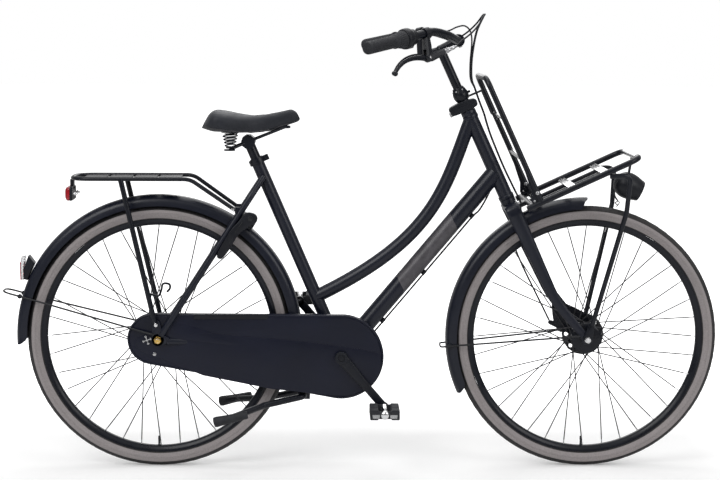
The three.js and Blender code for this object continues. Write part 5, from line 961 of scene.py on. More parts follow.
# (ahead, along) of the steering axis
LOCK_SIDE = [
    (-46, 703), (-43.5, 692.5), (-16, 690.5), (26, 692), (31, 697), (32.5, 708), (28, 714), (0, 719.5),
    (-38, 718.4),
    (-45, 713),
]
COLLAR = [(14.8, 677.4), (19.6, 677.4), (20.4, 679), (20.4, 687), (19.4, 690), (14.8, 690)]
cap = lathe(Shape("black_metal"), HEADSET_NUT, steer(720), head_up, 44)
sweep(cap, [steer(732.6, 13.5), steer(739, 13.5)], bar_section(16, 27, 2.5), Y)
nut_marks = Shape("steel")
for a in angles(6, radians(30)):
    outward = Y * cos(a) + head_forward * sin(a)
    screw_head(nut_marks, steer(748.5) + outward * 18.1, outward, 2.2, 0.9, 16)
piece("headset_nut", [cap, nut_marks], "steering", ["headset_cap"])
lock_side = rounded_outline(flat(steer(along, ahead) for ahead, along in LOCK_SIDE))
lock = slab(Shape("black_plastic"), lock_side, -22, 22, 3, 4)
piece("steering_lock_body", lock, "frame", ["steering_lock"], angle=40)
piece("head_collar", lathe(Shape("frame_paint"), COLLAR, head_foot, head_up, 40, closed=True), "frame")
dressed("lock_barrel", "steel", "lock_key", 40, 0.5)

# Chain drive and case. Outlines are (x, z) and screw profiles (radius, y).

CASE_REAR, CASE_FRONT = (-14, RADIUS), (crank.x, crank.z)
UPPER_FIELD = [(24.5, 408), (120, 384), (222, 343.4), (191.6, 341), (125, 348.5), (60, 356.5), (26, 361)]
LOWER_FIELD = [
    (-60, 338), (-40, 322), (120, 258), (300, 222), (470, 203.5), (520, 206), (560, 222), (586, 250),
    (596, 285),
    (594, 318), (540, 330), (380, 352), (150, 372), (-30, 374), (-56, 362),
]
SEAM_STRIP = [(112, 421.4), (128, 423.8), (430, 423.2), (452, 420.2), (452, 417.6), (112, 417.0)]
COVER_STRIP = [(95, 411), (97, 424.2), (295, 424.2), (292, 411)]
CASE_SCREW = [(0.3, -62.6), (3.2, -62.6), (4.6, -62.0), (5.0, -61.2), (5.0, -59.0), (0.3, -59.0)]
STAR_SCREW = [(0.3, -66), (2.6, -66), (3.2, -65.4), (3.2, -60.2), (0.3, -60.2)]
STAR_ARM = [(2, 1.6), (8, 1.4), (9.4, 3.4), (11.4, 3.4)]

for node in ("chain", "chainring", "rear_sprocket"):
    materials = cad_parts[node].data.materials
    materials.clear()
    materials.append(MATERIALS["steel"])
dressed("bottom_bracket", "steel", "frame", 40, 0.3)
dressed("chain_case_inner", "case_plastic", "frame", 35, 0.8)
dressed("chain_case_outer", "case_plastic", "frame", 35)
trim = Shape("case_plastic")
for y, r in ((-56.6, 3.2), (-37.4, 3.0)):
    rim = [V(x, y, z) for x, z in round_two(CASE_REAR, 65.4, CASE_FRONT, 110.4, 48)]
    tube(trim, rim, r, 12, closed=True)
# The upper rear field leans back a little above a crease.
rings = []
for inward, y in ((0.0, -59.8), (0.0, -60.15), (0.8, -60.3)):
    ring = []
    for x, z in inset(UPPER_FIELD, inward):
        proud = 2.4 * (1 - (x - 26) / 209 - (z - 358) / 50)
        ring.append(V(x, y - (max(0.0, proud) if y < -60 else 0), z))
    rings.append(ring)
skin(trim, rings)
slab(trim, LOWER_FIELD, -61.2, -59.6, 0.7, 4)
slab(trim, SEAM_STRIP, -53, -41, 1.2)
cover = slab(Shape("black_plastic"), COVER_STRIP, -62.2, -58, 0.8)
bosses = Shape("steel")
for z in (411, 316):
    lathe(bosses, CASE_SCREW, V(-10, 0, z), Y, 28)
star, star_centre = Shape("steel"), V(-29.5, 0, 354.6)
for a in angles(4, radians(20)):
    out, across = V(cos(a), 0, sin(a)), V(-sin(a), 0, cos(a))
    arm = STAR_ARM + [(13, 0)] + mirror(STAR_ARM)
    slab(star, flat(star_centre + out * far + across * wide for far, wide in arm), -64.5, -61.0, 0.5, 2)
lathe(star, STAR_SCREW, star_centre, Y, 24)
piece("chain_case_trim", [trim, bosses, cover], "frame", angle=35)
piece("chain_tensioner", star, "frame", angle=35)

# Axles and nuts


def axle_nuts(material, centre, half, radius, nut, washer):
    """An axle with a nut and a washer at each end. A nut is place, radius, height and turn."""
    shape = rod(Shape(material), centre - Y * half, centre + Y * half, radius, 28, round_end=0.8)
    for side, word in SIDES:
        place, *sizes = nut
        hexagon(shape, centre + Y * side * place, Y * side, *sizes)
        lathe(shape, washer, centre, Y * side, 28, closed=True)
    return shape


rear_washer = [(5.4, 79.6), (8.8, 79.6), (8.8, 81), (8.0, 82.6), (5.4, 83)]
front_washer = [(4.9, 65.5), (8.4, 65.5), (8.4, 66.4), (4.9, 66.4)]
thread = Shape("steel")
for i in range(7):
    torus(thread, rear - Y * (83.6 + i * 0.75), Y, 5.35, 0.3, 28, 6)
rear_nuts = axle_nuts("brass", rear, 88, 5.6, (70.3, 11, 9, 0.3), rear_washer)
front_nuts = axle_nuts("polished_metal", front, 76, 4.8, (65.6, 8.5, 8, 0.2), front_washer)
piece("rear_axle_nuts", [rear_nuts, thread], "frame", ["rear_axle"], angle=35)
piece("front_axle_nuts", front_nuts, "steering", ["front_axle"], angle=35)

# Cranks and pedals. Profiles are (radius, distance from the middle).

CRANK_LENGTH, CRANK_TURN, CRANK_HALF = 175, radians(-49.4), 69
CRANK_EYE = [(5.8, 63), (12.4, 63), (13, 63.7), (13, 74.4), (12.2, 75.2), (5.8, 75.2)]
CRANK_CAP = [(0.2, 75.8), (7.4, 75.8), (9.3, 75.2), (9.6, 74.0), (0.2, 73.0)]
PEDAL_IN, PEDAL_OUT, PEDAL_STEPS = 85, 179, 46
PEDAL_CORE = [
    (6.9, 85), (10.2, 85), (11, 86), (11, 91), (9.6, 94), (9.2, 167), (10.6, 171), (11, 178), (10.2, 179),
    (6.9, 179),
]
PEDAL_END = [(-34, -8), (-26, -10), (26, -10), (34, -8), (34, 8), (26, 10), (-26, 10), (-34, 8)]


def crank_end(side):
    return turned(crank, CRANK_LENGTH, CRANK_TURN + (0 if side < 0 else pi))


def crank_mesh(side, word):
    arm, cap_ring, pin = Shape("black_metal"), Shape("black_plastic"), Shape("steel")
    end = crank_end(side)
    along = (end - crank).normalized()
    over = V(-along.z, 0, along.x)
    rings = []
    for k in range(21):
        centre = at_y(crank.lerp(end, k / 20), side * CRANK_HALF)
        section = bar_section(12, 2 * lerp(16, 11, min(1, k / 10)), 3.2, 4)
        rings.append([centre + Y * x + over * y for x, y in section])
    skin(arm, rings)
    inner = 41 if side < 0 else 63
    boss = 77 - inner
    hub = [(8.4, 0), (16.4, 0), (17, 0.7), (17, boss - 0.9), (16, boss), (9.5, boss)]
    lathe(arm, hub, at_y(crank, side * inner), Y * side, 40, closed=True)
    lathe(arm, CRANK_EYE, end, Y * side, 36, closed=True)
    lathe(cap_ring, CRANK_CAP, crank, Y * side, 32)
    rod(pin, at_y(end, side * CRANK_HALF), at_y(end, side * 169), 6, 24)
    if side > 0:
        rod(pin, at_y(crank, -66), at_y(crank, 64), 8, 24)
    piece("crank_arm_" + word, [arm, cap_ring, pin], "crankset", ["crank_" + word])


def pedal_mesh(side, word):
    centre = crank_end(side)
    core, pads, end_cap, reflector = (
        Shape(m) for m in ("polished_metal", "black_rubber", "polished_metal", "clear_lens")
    )

    def plate(shape, pairs, y0, y1, bevel):
        slab(shape, [(centre.x + x, centre.z + z) for x, z in pairs], *sorted((side * y0, side * y1)), bevel)

    lathe(core, PEDAL_CORE, centre, Y * side, 36, closed=True)
    ball(end_cap, centre + Y * side * (PEDAL_OUT - 4), 12.4, 8.6, 32, 18)
    for y in (PEDAL_IN, PEDAL_OUT - 5):
        plate(pads, PEDAL_END, y, y + 5, 0.8)
    for end in (-1, 1):
        rings = []
        for k in range(PEDAL_STEPS + 1):
            share = k / PEDAL_STEPS
            groove = 2.4 if any(abs(share - g) < 0.035 for g in (0.2, 0.4, 0.6, 0.8)) else 0.0
            edge = 1.2 if k in (0, PEDAL_STEPS) else 0.0
            place = centre + V(end * 28, side * lerp(PEDAL_IN + 1, PEDAL_OUT - 1, share), 0)
            section = bar_section(22 - 2 * edge, 27 - 2 * edge - 2 * groove, 3.0, 4)
            rings.append([place + V(x, 0, z) for x, z in section])
        skin(pads, rings)
        lens = [(end * 14, -8.4), (end * 32, -8.4), (end * 33, 1), (end * 14, 1.6)]
        plate(reflector, lens, PEDAL_OUT - 0.4, PEDAL_OUT + 1.4, 0.5)
    node = "pedal_" + word
    piece(node + "_block", [core, pads, end_cap, reflector], node, [node], angle=35)


for side, word in SIDES:
    crank_mesh(side, word)
    pedal_mesh(side, word)

# Ring lock, stand and brakes. Outlines are (x, z).

LOCK_COVER = [
    (234.5, 698.3), (259.1, 694.9), (266.8, 682.4), (262.8, 669.3), (247.6, 661.8), (221.1, 644.9),
    (208.5, 628.8),
    (194.4, 602.3), (171.4, 571.7), (157.9, 575.2), (158, 588.6), (175.6, 618.1), (195.4, 652.9),
    (217.4, 675.1),
]
LOCK_FACE, LOCK_AHEAD, LOCK_DOWN, BOW_RADIUS = -66, 17.8, 340, 58
BRAKE_ARM = [
    (1076.1, 451.2), (1150.7, 418.2), (1170.3, 398.8), (1088.8, 351.6), (1069, 387.6), (1062.5, 448.5),
]
STAND_PIVOT, STAND_LENGTH, STAND_FOLDED, STAND_LIFT = V(389, 0, 197.5), 245, radians(194.9), 12
STAND_RADIUS, STAND_HALF = 8.8, 135

dressed("ring_lock", "black_plastic", "frame", 42, 1.2)
lock_cover = slab(Shape("black_plastic"), rounded_outline(LOCK_COVER), LOCK_FACE, -48, 2.4)
lock_marks = Shape("dark_wire")
lathe(lock_marks, [(0.3, -1), (6.6, -1), (6.6, 0.9), (5.2, 1.4), (0.3, 1.4)], V(247, LOCK_FACE, 681), -Y, 28)
crease = [V(x, LOCK_FACE - 0.2, z) for x, z in ((226, 672), (214, 655), (203, 636), (190, 612))]
tube(lock_marks, smooth_path(crease, 24), 1.4, 10, round_end=0.4)
piece("ring_lock_cover", [lock_cover, lock_marks], "frame")
bow_path = []
for k in range(41):
    a = radians(lerp(44, 150, k / 40))
    down = stay_length - LOCK_DOWN + BOW_RADIUS * cos(a)
    bow_path.append(on_stay(down, -BOW_RADIUS * sin(a), LOCK_AHEAD))
piece("lock_bow", tube(Shape("steel"), bow_path, 4, round_end=1.0), "lock_bow", ["ring_lock_bow"], angle=40)


def on_leg(along, half):
    return turned(STAND_PIVOT, along * STAND_LENGTH, STAND_FOLDED, half) + Z * along * STAND_LIFT


leg = [on_leg(along, -share * STAND_HALF) for along, share in ((1, 1), (0.8, 0.89), (0.45, 0.37))]
leg.append(on_leg(0, -40))
stand = tube(Shape("black_metal"), rounded(both_sides(leg), 16, 8), STAND_RADIUS, 24)
feet = Shape("black_rubber")
for side, word in SIDES:
    a, b = on_leg(1 - 92 / STAND_LENGTH, side * 128), on_leg(1, side * STAND_HALF)
    run = [a.lerp(b, t) for t in (0, 0.06, 0.6, 0.92, 1)]
    tube(feet, run, STAND_RADIUS, 28, radii=[9.2, 10.6, 11.8, 14, 12.6])
piece("stand_legs", [stand, feet], "stand", ["kickstand"], angle=40)
dressed("rear_brake", "black_metal", "frame", 40, 0.8)
dressed("front_brake", "black_metal", "steering", 40, 0.6)
arm = slab(Shape("black_metal"), rounded_outline(BRAKE_ARM), 38, 43)
piece("front_brake_arm", arm, "steering", angle=40)

# Seat post, rails and springs

RAIL_X, RAIL_HALF, SPRING_FOOT, SPRING_TOP, COIL_TURNS = 192, 47, 864.3, 907.7, 4
SPRING_CUP = [(0.4, 860), (14.2, 860), (15, 860.6), (15, 863.4), (14.2, 864), (0.4, 864)]
post = rod(Shape("black_metal"), seat_line(382), seat_line(632), 13.8, 36, round_end=0.8)
piece("post_tube", post, "seat", ["seat_post"])
dressed("seat_clamp", "black_metal", "frame", 42, 0.6)
dressed("saddle_clamp", "black_metal", "seat", 42, 0.8)
dressed("saddle_base", "black_plastic", "seat", 35, 0.6)
rail_side = [V(RAIL_X, -RAIL_HALF, 862), seat_line(626, 0, -20), V(338, -13, 921), V(349, -13, 921)]
rail_shape = tube(Shape("black_metal"), rounded(both_sides(rail_side), 14, 8), 3.5)
for side, word in SIDES:
    lathe(rail_shape, SPRING_CUP, V(RAIL_X, side * RAIL_HALF, 0), Z, 36)
    low, high = SPRING_FOOT + 4, SPRING_TOP - 4
    points = [V(RAIL_X + 11, side * RAIL_HALF, SPRING_FOOT), V(RAIL_X + 11, side * RAIL_HALF, low)]
    for i in range(1, 128):
        t = i / 128
        r, a = lerp(11, 18.5, t), 2 * pi * COIL_TURNS * t
        up_at = lerp(low + 1.2, high - 1.2, t)
        points.append(V(RAIL_X + r * cos(a), side * (RAIL_HALF + r * sin(a)), up_at))
    points += [V(RAIL_X + 18.5, side * RAIL_HALF, z) for z in (high, SPRING_TOP)]
    coil = tube(Shape("black_metal"), points, 1.75, 12)
    piece("coil_" + word, coil, "seat", ["saddle_spring_" + word], angle=60)
piece("rail_wires", rail_shape, "seat", ["saddle_rails"], angle=40)

# Saddle. Rows are the share along it, of its half width, and of its height at the top and bottom.

SADDLE_BACK, SADDLE_LENGTH, SADDLE_HALF, SADDLE_FOOT, SADDLE_HEIGHT = 115, 265, 92, 908, 60
SKIRT_HANG = 0.009
SADDLE_SHARES = [
    (0, 0.42, 0.80, 0.15),
    (0.04, 0.78, 0.92, 0.12),
    (0.12, 0.99, 0.97, 0.02),
    (0.25, 1, 0.91, -0.13),
    (0.37, 0.82, 0.79, -0.23),
    (0.5, 0.54, 0.72, -0.24),
    (0.62, 0.36, 0.76, -0.12),
    (0.75, 0.27, 0.86, 0.13),
    (0.88, 0.23, 0.98, 0.32),
    (0.96, 0.19, 1, 0.43),
    (1, 0.1, 0.90, 0.52),
]


def saddle_at(share, column):
    """A smooth value between the rows of the saddle's table."""
    rows = SADDLE_SHARES
    i = next(i for i in range(len(rows) - 1) if share <= rows[i + 1][0] or i == len(rows) - 2)
    a, b, c, d = rows[max(i - 1, 0)], rows[i], rows[i + 1], rows[min(i + 2, len(rows) - 1)]
    span = c[0] - b[0]
    t = (share - b[0]) / span
    leave = (c[column] - a[column]) / max(c[0] - a[0], 1e-6) * span
    arrive = (d[column] - b[column]) / max(d[0] - b[0], 1e-6) * span
    first = (2 * t**3 - 3 * t**2 + 1) * b[column] + (t**3 - 2 * t**2 + t) * leave
    return first + (-2 * t**3 + 3 * t**2) * c[column] + (t**3 - t**2) * arrive


def saddle_bottom(share):
    return SADDLE_FOOT + saddle_at(share, 3) * SADDLE_HEIGHT


def squarer(value):
    return copysign(abs(value) ** 0.62, value)


# The cushion is a crowned form: full sides that tuck in under a lower edge.
rings = []
for k in range(41):
    share = 0.5 - 0.5 * cos(pi * k / 40)
    half = max(2.0, saddle_at(share, 1) * SADDLE_HALF) * 0.985
    top, bottom = SADDLE_FOOT + saddle_at(share, 2) * SADDLE_HEIGHT, saddle_bottom(share)
    skew = 0.55 * max(0.0, 1 - share / 0.16) - 0.5 * max(0.0, (share - 0.86) / 0.14)
    ring = []
    for a in angles(44):
        c, s = cos(a), sin(a)
        across = squarer(c)
        z = lerp(bottom, top, 0.5 + 0.5 * squarer(s))
        if s < 0:
            across *= 1 - 0.05 * abs(s)
            z += max(0.0, 909 - bottom) * (1 - min(1.0, abs(across)) ** 3)
        ring.append(V(SADDLE_BACK + share * SADDLE_LENGTH + skew * (z - bottom), across * half, z))
    rings.append(ring)
cushion = piece("saddle_cushion", skin(Shape("saddle_cover"), rings), "seat", angle=180, ride=False)
modify(cushion, "REMESH", mode="VOXEL", voxel_size=0.0045)
for _ in range(2):
    modify(cushion, "SMOOTH", factor=0.5, iterations=4)


def coordinates_of(mesh):
    values = np.empty(len(mesh.vertices) * 3)
    mesh.vertices.foreach_get("co", values)
    return values.reshape(-1, 3)


def inflate(obj, most, pressure, frames, pin):
    """Cloth with inner pressure, with each point's move capped, then applied."""
    mesh = obj.data
    rest = coordinates_of(mesh)
    group = obj.vertex_groups.new(name="held")
    group.add([v.index for v in mesh.vertices if pin(v.co)], 1.0, "REPLACE")
    facts = obj.modifiers.new("cloth", "CLOTH").settings
    facts.quality, facts.mass = 5, 0.3
    facts.tension_stiffness = facts.compression_stiffness = 25
    facts.shear_stiffness, facts.bending_stiffness = 8, 2.5
    facts.use_pressure, facts.uniform_pressure_force = True, pressure
    facts.effector_weights.gravity = 0
    facts.vertex_group_mass = "held"
    for f in range(1, frames + 1):
        bpy.context.scene.frame_set(f)
    graph = bpy.context.evaluated_depsgraph_get()
    step = coordinates_of(bpy.data.meshes.new_from_object(obj.evaluated_get(graph))) - rest
    length = np.linalg.norm(step, axis=1, keepdims=True)
    step *= np.minimum(1.0, most / np.maximum(length, 1e-9))
    obj.modifiers.clear()
    mesh.vertices.foreach_set("co", (rest + step).ravel())
    mesh.update()
    bpy.context.scene.frame_set(1)


def held_below(co):
    """The underside stays on its base plate; the upper skin is free."""
    share = min(max((co.x / MM - SHIFT.x - SADDLE_BACK) / SADDLE_LENGTH, 0.0), 1.0)
    return co.z < max(saddle_bottom(share) * MM, 0.909) + 0.004


inflate(cushion, 0.0022, 3.0, 14, held_below)
modify(cushion, "SUBSURF", levels=1, render_levels=1)
smooth_faces(cushion.data, None)
low_corner, high_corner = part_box("saddle_cover")
low_corner = low_corner - Z * SKIRT_HANG
for v in cushion.data.vertices:
    v.co = [min(max(c, low), high) for c, low, high in zip(v.co, low_corner, high_corner)]
cushion.data.update()
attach(cushion, "seat")
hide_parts("saddle_cover")

# The welt follows the outer lower edge of the finished cushion, read off its own mesh.
cover_points = np.array([tuple(v.co / MM - SHIFT) for v in cushion.data.vertices])
welt = Shape("grey_panel")
for side, word in SIDES:
    found = []
    for i in range(61):
        x = SADDLE_BACK + (0.06 + 0.86 * i / 60) * SADDLE_LENGTH
        near = cover_points[np.abs(cover_points[:, 0] - x) < 4]
        found.append(near[np.argmax(side * near[:, 1] * 0.8 - near[:, 2])])
    eased = [np.mean(found[max(0, k - 3) : k + 4], axis=0) for k in range(len(found))]
    tube(welt, [V(*point) for point in eased], 1.1, 8)
piece("saddle_welt", welt, "seat", angle=60)

# Mudguard wires, clips and lamp. Outlines are (x, z), a wire's run (x, half width, z) from the axle.

GUARD_WIRE, WIRE_RADIUS, CLIP_HALF = 31 + 2.6 + 0.3, 2.5, 30.5
REAR_WIRE = [(-10, 70 + 2.6 + 0.6, 14), (-330, GUARD_WIRE, 100), (-417, GUARD_WIRE, 124)]
FRONT_WIRE = [(-22, 59 + 5.2 + 0.3, 10), (-350, GUARD_WIRE, -21), (-393, GUARD_WIRE, -25)]
GUARD_CLIP = [(0.3, -2.5), (5.4, -2.5), (6, -1.8), (6, 4.4), (5.2, 5.2), (0.3, 5.2)]
LAMP_WEDGE = [
    (-348.9, 575.2), (-355.6, 558.4), (-362.4, 536), (-361.6, 511.2), (-352.7, 508.3), (-344, 530),
    (-333.2, 554.1),
]
LAMP_FACE = [(-359.1, 572), (-369, 570.6), (-371.4, 552), (-370.1, 509.6), (-362.4, 509.6), (-363, 536)]
LAMP_STRIP = [(-370, 556), (-372.4, 556), (-371.4, 509.4), (-368.6, 509.4)]
# A black wedge, a clear lens and a red strip: material, outline, half width and rounding of the ends.
LAMP_PARTS = (
    ("black_plastic", LAMP_WEDGE, 16.5, 1.2),
    ("clear_lens", LAMP_FACE, 16, 1.2),
    ("red_lens", LAMP_STRIP, 16.8, 0.3),
)


def guard_wire(word, body, centre, run, corner, clip):
    """A wire round a mudguard and the two clips that hold it."""
    points = [centre + V(x, -half, z) for x, half, z in run]
    wire = tube(Shape("dark_wire"), rounded(both_sides(points), corner, 8), WIRE_RADIUS, 16)
    piece(word + "_guard_wire", wire, body, [word + "_mudguard_stay"], angle=50)
    clips = Shape("black_plastic")
    for side, _ in SIDES:
        lathe(clips, GUARD_CLIP, centre + V(clip[0], side * CLIP_HALF, clip[1]), Y * side, 24)
    piece(word + "_guard_clips", clips, body)


guard_wire("rear", "frame", rear, REAR_WIRE, 26, (-371, 111.3))
guard_wire("front", "steering", front, FRONT_WIRE, 13, (-368, -23))
lamp_shapes = []
for material, corners, half, pull in LAMP_PARTS:
    layers = ((-half, pull), (-half + 1.6, 0), (half - 1.6, 0), (half, pull))
    rings = [[V(x, y, z) for x, z in inset(corners, inward)] for y, inward in layers]
    lamp_shapes.append(skin(Shape(material), rings))
piece("guard_lamp", lamp_shapes, "frame", ["mudguard_lamp"])

# Rear rack

RACK_RADIUS, RACK_HALF, RACK_TOP = 5.6, 5.6 + 64, 786
SLATS, SLAT_FROM, SLAT_STEP, SLAT_GAP = 4, -198.7, 65.8, 3.5
RACK_FOOT, RACK_LEG = RADIUS + 42, 7
RACK_HOOK = [
    (-20, 479.3), (1.2, 474), (9.3, 487.4), (14.7, 506.3), (30.6, 506.3), (33.2, 495.5), (25.2, 484.8),
]
TAIL_AT, TAIL_WIDE, TAIL_TALL = RACK_TOP - 24 - 19, 82, 38
TAIL_STUD = [(0.3, 0), (3.2, 0), (3.2, 4), (5.2, 4.4), (5.2, 7), (2.6, 7.6), (2.6, 12), (0.3, 12)]

rack_shape, rack_bolts = Shape("black_metal"), Shape("polished_metal")
lug_face = bridge_half + 3.5 + 0.3
hoop_side = [V(206, -lug_face - RACK_RADIUS, 703), V(88, -RACK_HALF, RACK_TOP), V(-226, -RACK_HALF, RACK_TOP)]
tube(rack_shape, rounded(both_sides(hoop_side), 55, 14), RACK_RADIUS, 24)
for i in range(SLATS):
    x0, x1 = SLAT_FROM + i * SLAT_STEP + SLAT_GAP, SLAT_FROM + (i + 1) * SLAT_STEP - SLAT_GAP
    slab(rack_shape, rectangle(x0, x1, RACK_TOP - 1.5, RACK_TOP + 1.5), -RACK_HALF, RACK_HALF, 0.7)
for side, _ in SIDES:
    a, b = V(-95, side * RACK_HALF, RACK_TOP), V(-6, side * 77.3, RACK_FOOT)
    d = (b - a).normalized()
    tube(rack_shape, [a, b - d * 26, b - d * 8, b], RACK_LEG, 24, radii=[RACK_LEG, RACK_LEG, 6.4, 6.2])
    screw_head(rack_bolts, V(-4, side * 83.4, RACK_FOOT), Y * side, 4.6, 1.6, 20)
    screw_head(rack_bolts, V(200, side * (lug_face + 11.0), 704), Y * side, 4.0, 1.2, 20)
for i in range(SLATS):
    x = SLAT_FROM + (i + 0.5) * SLAT_STEP
    screw_head(rack_bolts, V(x, -RACK_HALF, RACK_TOP), V(0, -1, 0.15), 1.0, 6.2, 12)
tube(rack_shape, smooth_path([V(x, -66, z) for x, z in RACK_HOOK], 40), 3, 14, round_end=0.6)
piece("rack_tubes", [rack_shape, rack_bolts], "frame", ["rear_rack"], angle=42)


def tail_skin(shape, stations):
    """A rounded box through (x, shrink) stations behind the rack."""
    rings = []
    for x, shrink in stations:
        section = bar_section(TAIL_WIDE - shrink, TAIL_TALL - shrink, 8.0, 5)
        rings.append([V(x, a, TAIL_AT + b) for a, b in section])
    return skin(shape, rings)


case = tail_skin(Shape("black_plastic"), ((-226.2, 4), (-228, 1), (-233, 0.2), (-233.6, 1.6)))
lamp = tail_skin(Shape("red_lens"), ((-233.4, 2), (-239, 0.8), (-243, 5), (-245.6, 14)))
slab(case, rectangle(-235, -226.2, TAIL_AT + 11, 780), -13, 13, 0.8)
stud = Shape("polished_metal")
for side, _ in SIDES:
    lathe(stud, TAIL_STUD, V(-226, side * 25, TAIL_AT), X, 20)
piece("rack_lamp", [lamp, case], "frame", ["tail_lamp"])
piece("rack_lamp_studs", stud, "frame")

# Front carrier and backrest

CARRIER_AT, CARRIER_HALF, CARRIER_RADIUS, SLAT_HALF = 401, 140, 7.9, 131.7
SLAT_TOP = [
    (-10, -1.6), (-8.2, -2.2), (-5.0, -2.2), (-3.6, -0.9), (-2.6, -2.2), (2.6, -2.2), (3.6, -0.9),
    (5.0, -2.2),
    (8.2, -2.2), (10, -1.6),
]
SLAT_SIDE = SLAT_TOP + [(10, 2.0), (-10, 2.0)]
BACK_AT, BACK_AHEAD = CARRIER_AT + 2.3, 71
# (along from the carrier, ahead)
BACK_FOOT = [(0, 48), (0, 79), (96, 77.6), (96, 64.4), (34, 58), (12, 48)]


def in_carrier(drop, ahead, left):
    return steer(CARRIER_AT - drop, ahead, left)


def carrier_slat(shape, ahead):
    """A cross plate with three ribs along it."""
    outline = flat(in_carrier(drop, ahead + x, 0) for x, drop in SLAT_SIDE)
    return slab(shape, outline, -SLAT_HALF, SLAT_HALF, 0.4, 2)


carrier_shape = Shape("black_metal")
hoop_side = [in_carrier(0, ahead, -CARRIER_HALF) for ahead in (30, 352)]
tube(carrier_shape, rounded(both_sides(hoop_side), 34, 12), CARRIER_RADIUS, 24, round_end=1.2)
rod(carrier_shape, in_carrier(0, 46, -CARRIER_HALF), in_carrier(0, 46, CARRIER_HALF), CARRIER_RADIUS, 24)
for side, _ in SIDES:
    rod(carrier_shape, in_carrier(7.8, 46, side * 40), in_carrier(7.8, 262, side * 40), 5.5, round_end=1)
sweep(carrier_shape, [in_carrier(0, 20.3, 0), in_carrier(0, 46, 0)], bar_section(44, 12, 3), Y)
for side, _ in SIDES:
    low = V(1160, side * 69, 396)
    run = [in_carrier(12.2, 262, side * 136), V(1244, side * 136, 806), V(1237, side * 121, 706), low]
    tube(carrier_shape, denser(rounded(run, 22, 8), 40), 6.5, 22)
    y0 = -59.3 - PLATE if side < 0 else 59.3
    slab(carrier_shape, round_two((front.x, front.z), 12, (low.x, low.z), 8), y0, y0 + PLATE, 0.9)
first_slat = carrier_slat(Shape("polished_metal"), 71)
piece("carrier_tubes", [carrier_shape, first_slat], "steering", ["front_carrier"], angle=42)
for word, ahead in (("rear", 164), ("front", 258)):
    slat = carrier_slat(Shape("polished_metal"), ahead)
    for side, _ in SIDES:
        screw_head(slat, in_carrier(-1.8, ahead, side * 40), head_up, 3.4, 0.2, 16)
    piece("carrier_plate_" + word, slat, "steering", ["carrier_slat_" + word])
front_run = [in_carrier(0, 352, y) for y in (-98, -97, 97, 98)]
sleeve = tube(Shape("polished_metal"), front_run, 8.0, 28, radii=[7.95, 8.0, 8.0, 7.95])
piece("carrier_front_sleeve", sleeve, "steering")

back_shape, bars, bolts, clip = (Shape(m) for m in ("black_metal", "polished_metal", "steel", "dark_wire"))
hoop_side = [steer(along, BACK_AHEAD, -CARRIER_HALF) for along in (BACK_AT, 757)]
tube(back_shape, rounded(both_sides(hoop_side), 34, 12), 7.4, 24)
for side, _ in SIDES:
    y = side * CARRIER_HALF
    foot = flat(steer(BACK_AT + along, ahead) for along, ahead in BACK_FOOT)
    slab(back_shape, foot, y - 2.6, y + 2.6, 0.8)
    rest = [steer(BACK_AT + rise, BACK_AHEAD, side * (CARRIER_HALF - 6)) for rise in (0, 3.4)]
    sweep(back_shape, rest, bar_section(22, 40, 4), Y)
    for turn in (-1, 1):
        screw_head(bolts, steer(BACK_AT + 26, BACK_AHEAD, y + turn * 7.2), Y * turn, 4.6, 1.8, 22)
        screw_head(bolts, steer(BACK_AT + 9, 56, y + turn * 2.5), Y * turn, 2.6, 1.2, 18)
for along, tall, thick in ((528, 13, 9), (640, 7, 6)):
    ends = [steer(along, BACK_AHEAD, y) for y in (-CARRIER_HALF, CARRIER_HALF)]
    sweep(bars, ends, bar_section(tall, thick, 2.6), head_up)
# A spring clip on the upper bar, to hold papers.
clip_way = [steer(*place) for place in ((640, 61, -58), (660, 59, -58), (660, 59, -26), (640, 61, -26))]
tube(clip, rounded(clip_way, 8, 6), 1.3, 12, round_end=0.4)
lathe(clip, [(0.3, -8), (3.6, -8), (3.6, 8), (0.3, 8)], steer(640, 62.5, -42), Y, 20)
back = [back_shape, bars, bolts, clip]
piece("backrest_hoop", back, "steering", ["carrier_backrest"], angle=40)

# Headlamp. Profiles are (radius, place along its line of sight), wires are seen from its centre.

LAMP_LEAN = radians(24.6)
LAMP_SHELL = [
    (0.4, -35.6), (9, -34.6), (18, -31.0), (25, -25.4), (30.6, -18), (34.0, -9.4), (35.4, 0), (35.2, 9),
    (33.8, 18),
    (31.4, 27), (29.0, 35), (27.6, 40.6), (26.9, 41.8), (24.4, 41.8), (24.0, 39.4), (0.4, 39.4),
]
LAMP_GLASS = [(0.4, 39.6), (23.6, 39.6), (23.6, 40.2), (16, 41.2), (8, 41.7), (0.4, 41.9)]
LONG_WIRE = [
    (-6, -34.6, 24), (-14, -33.5, 30), (-26, -27, 20), (-34, -20, -2), (-33, -14, -26), (-25, -12, -41),
    (-31, -10, -47), (-24, -8, -54),
]
SHORT_WIRE = [(-36, -6, -20), (-30, -8, -36), (-20, -8, -46), (-27, -6, -58)]

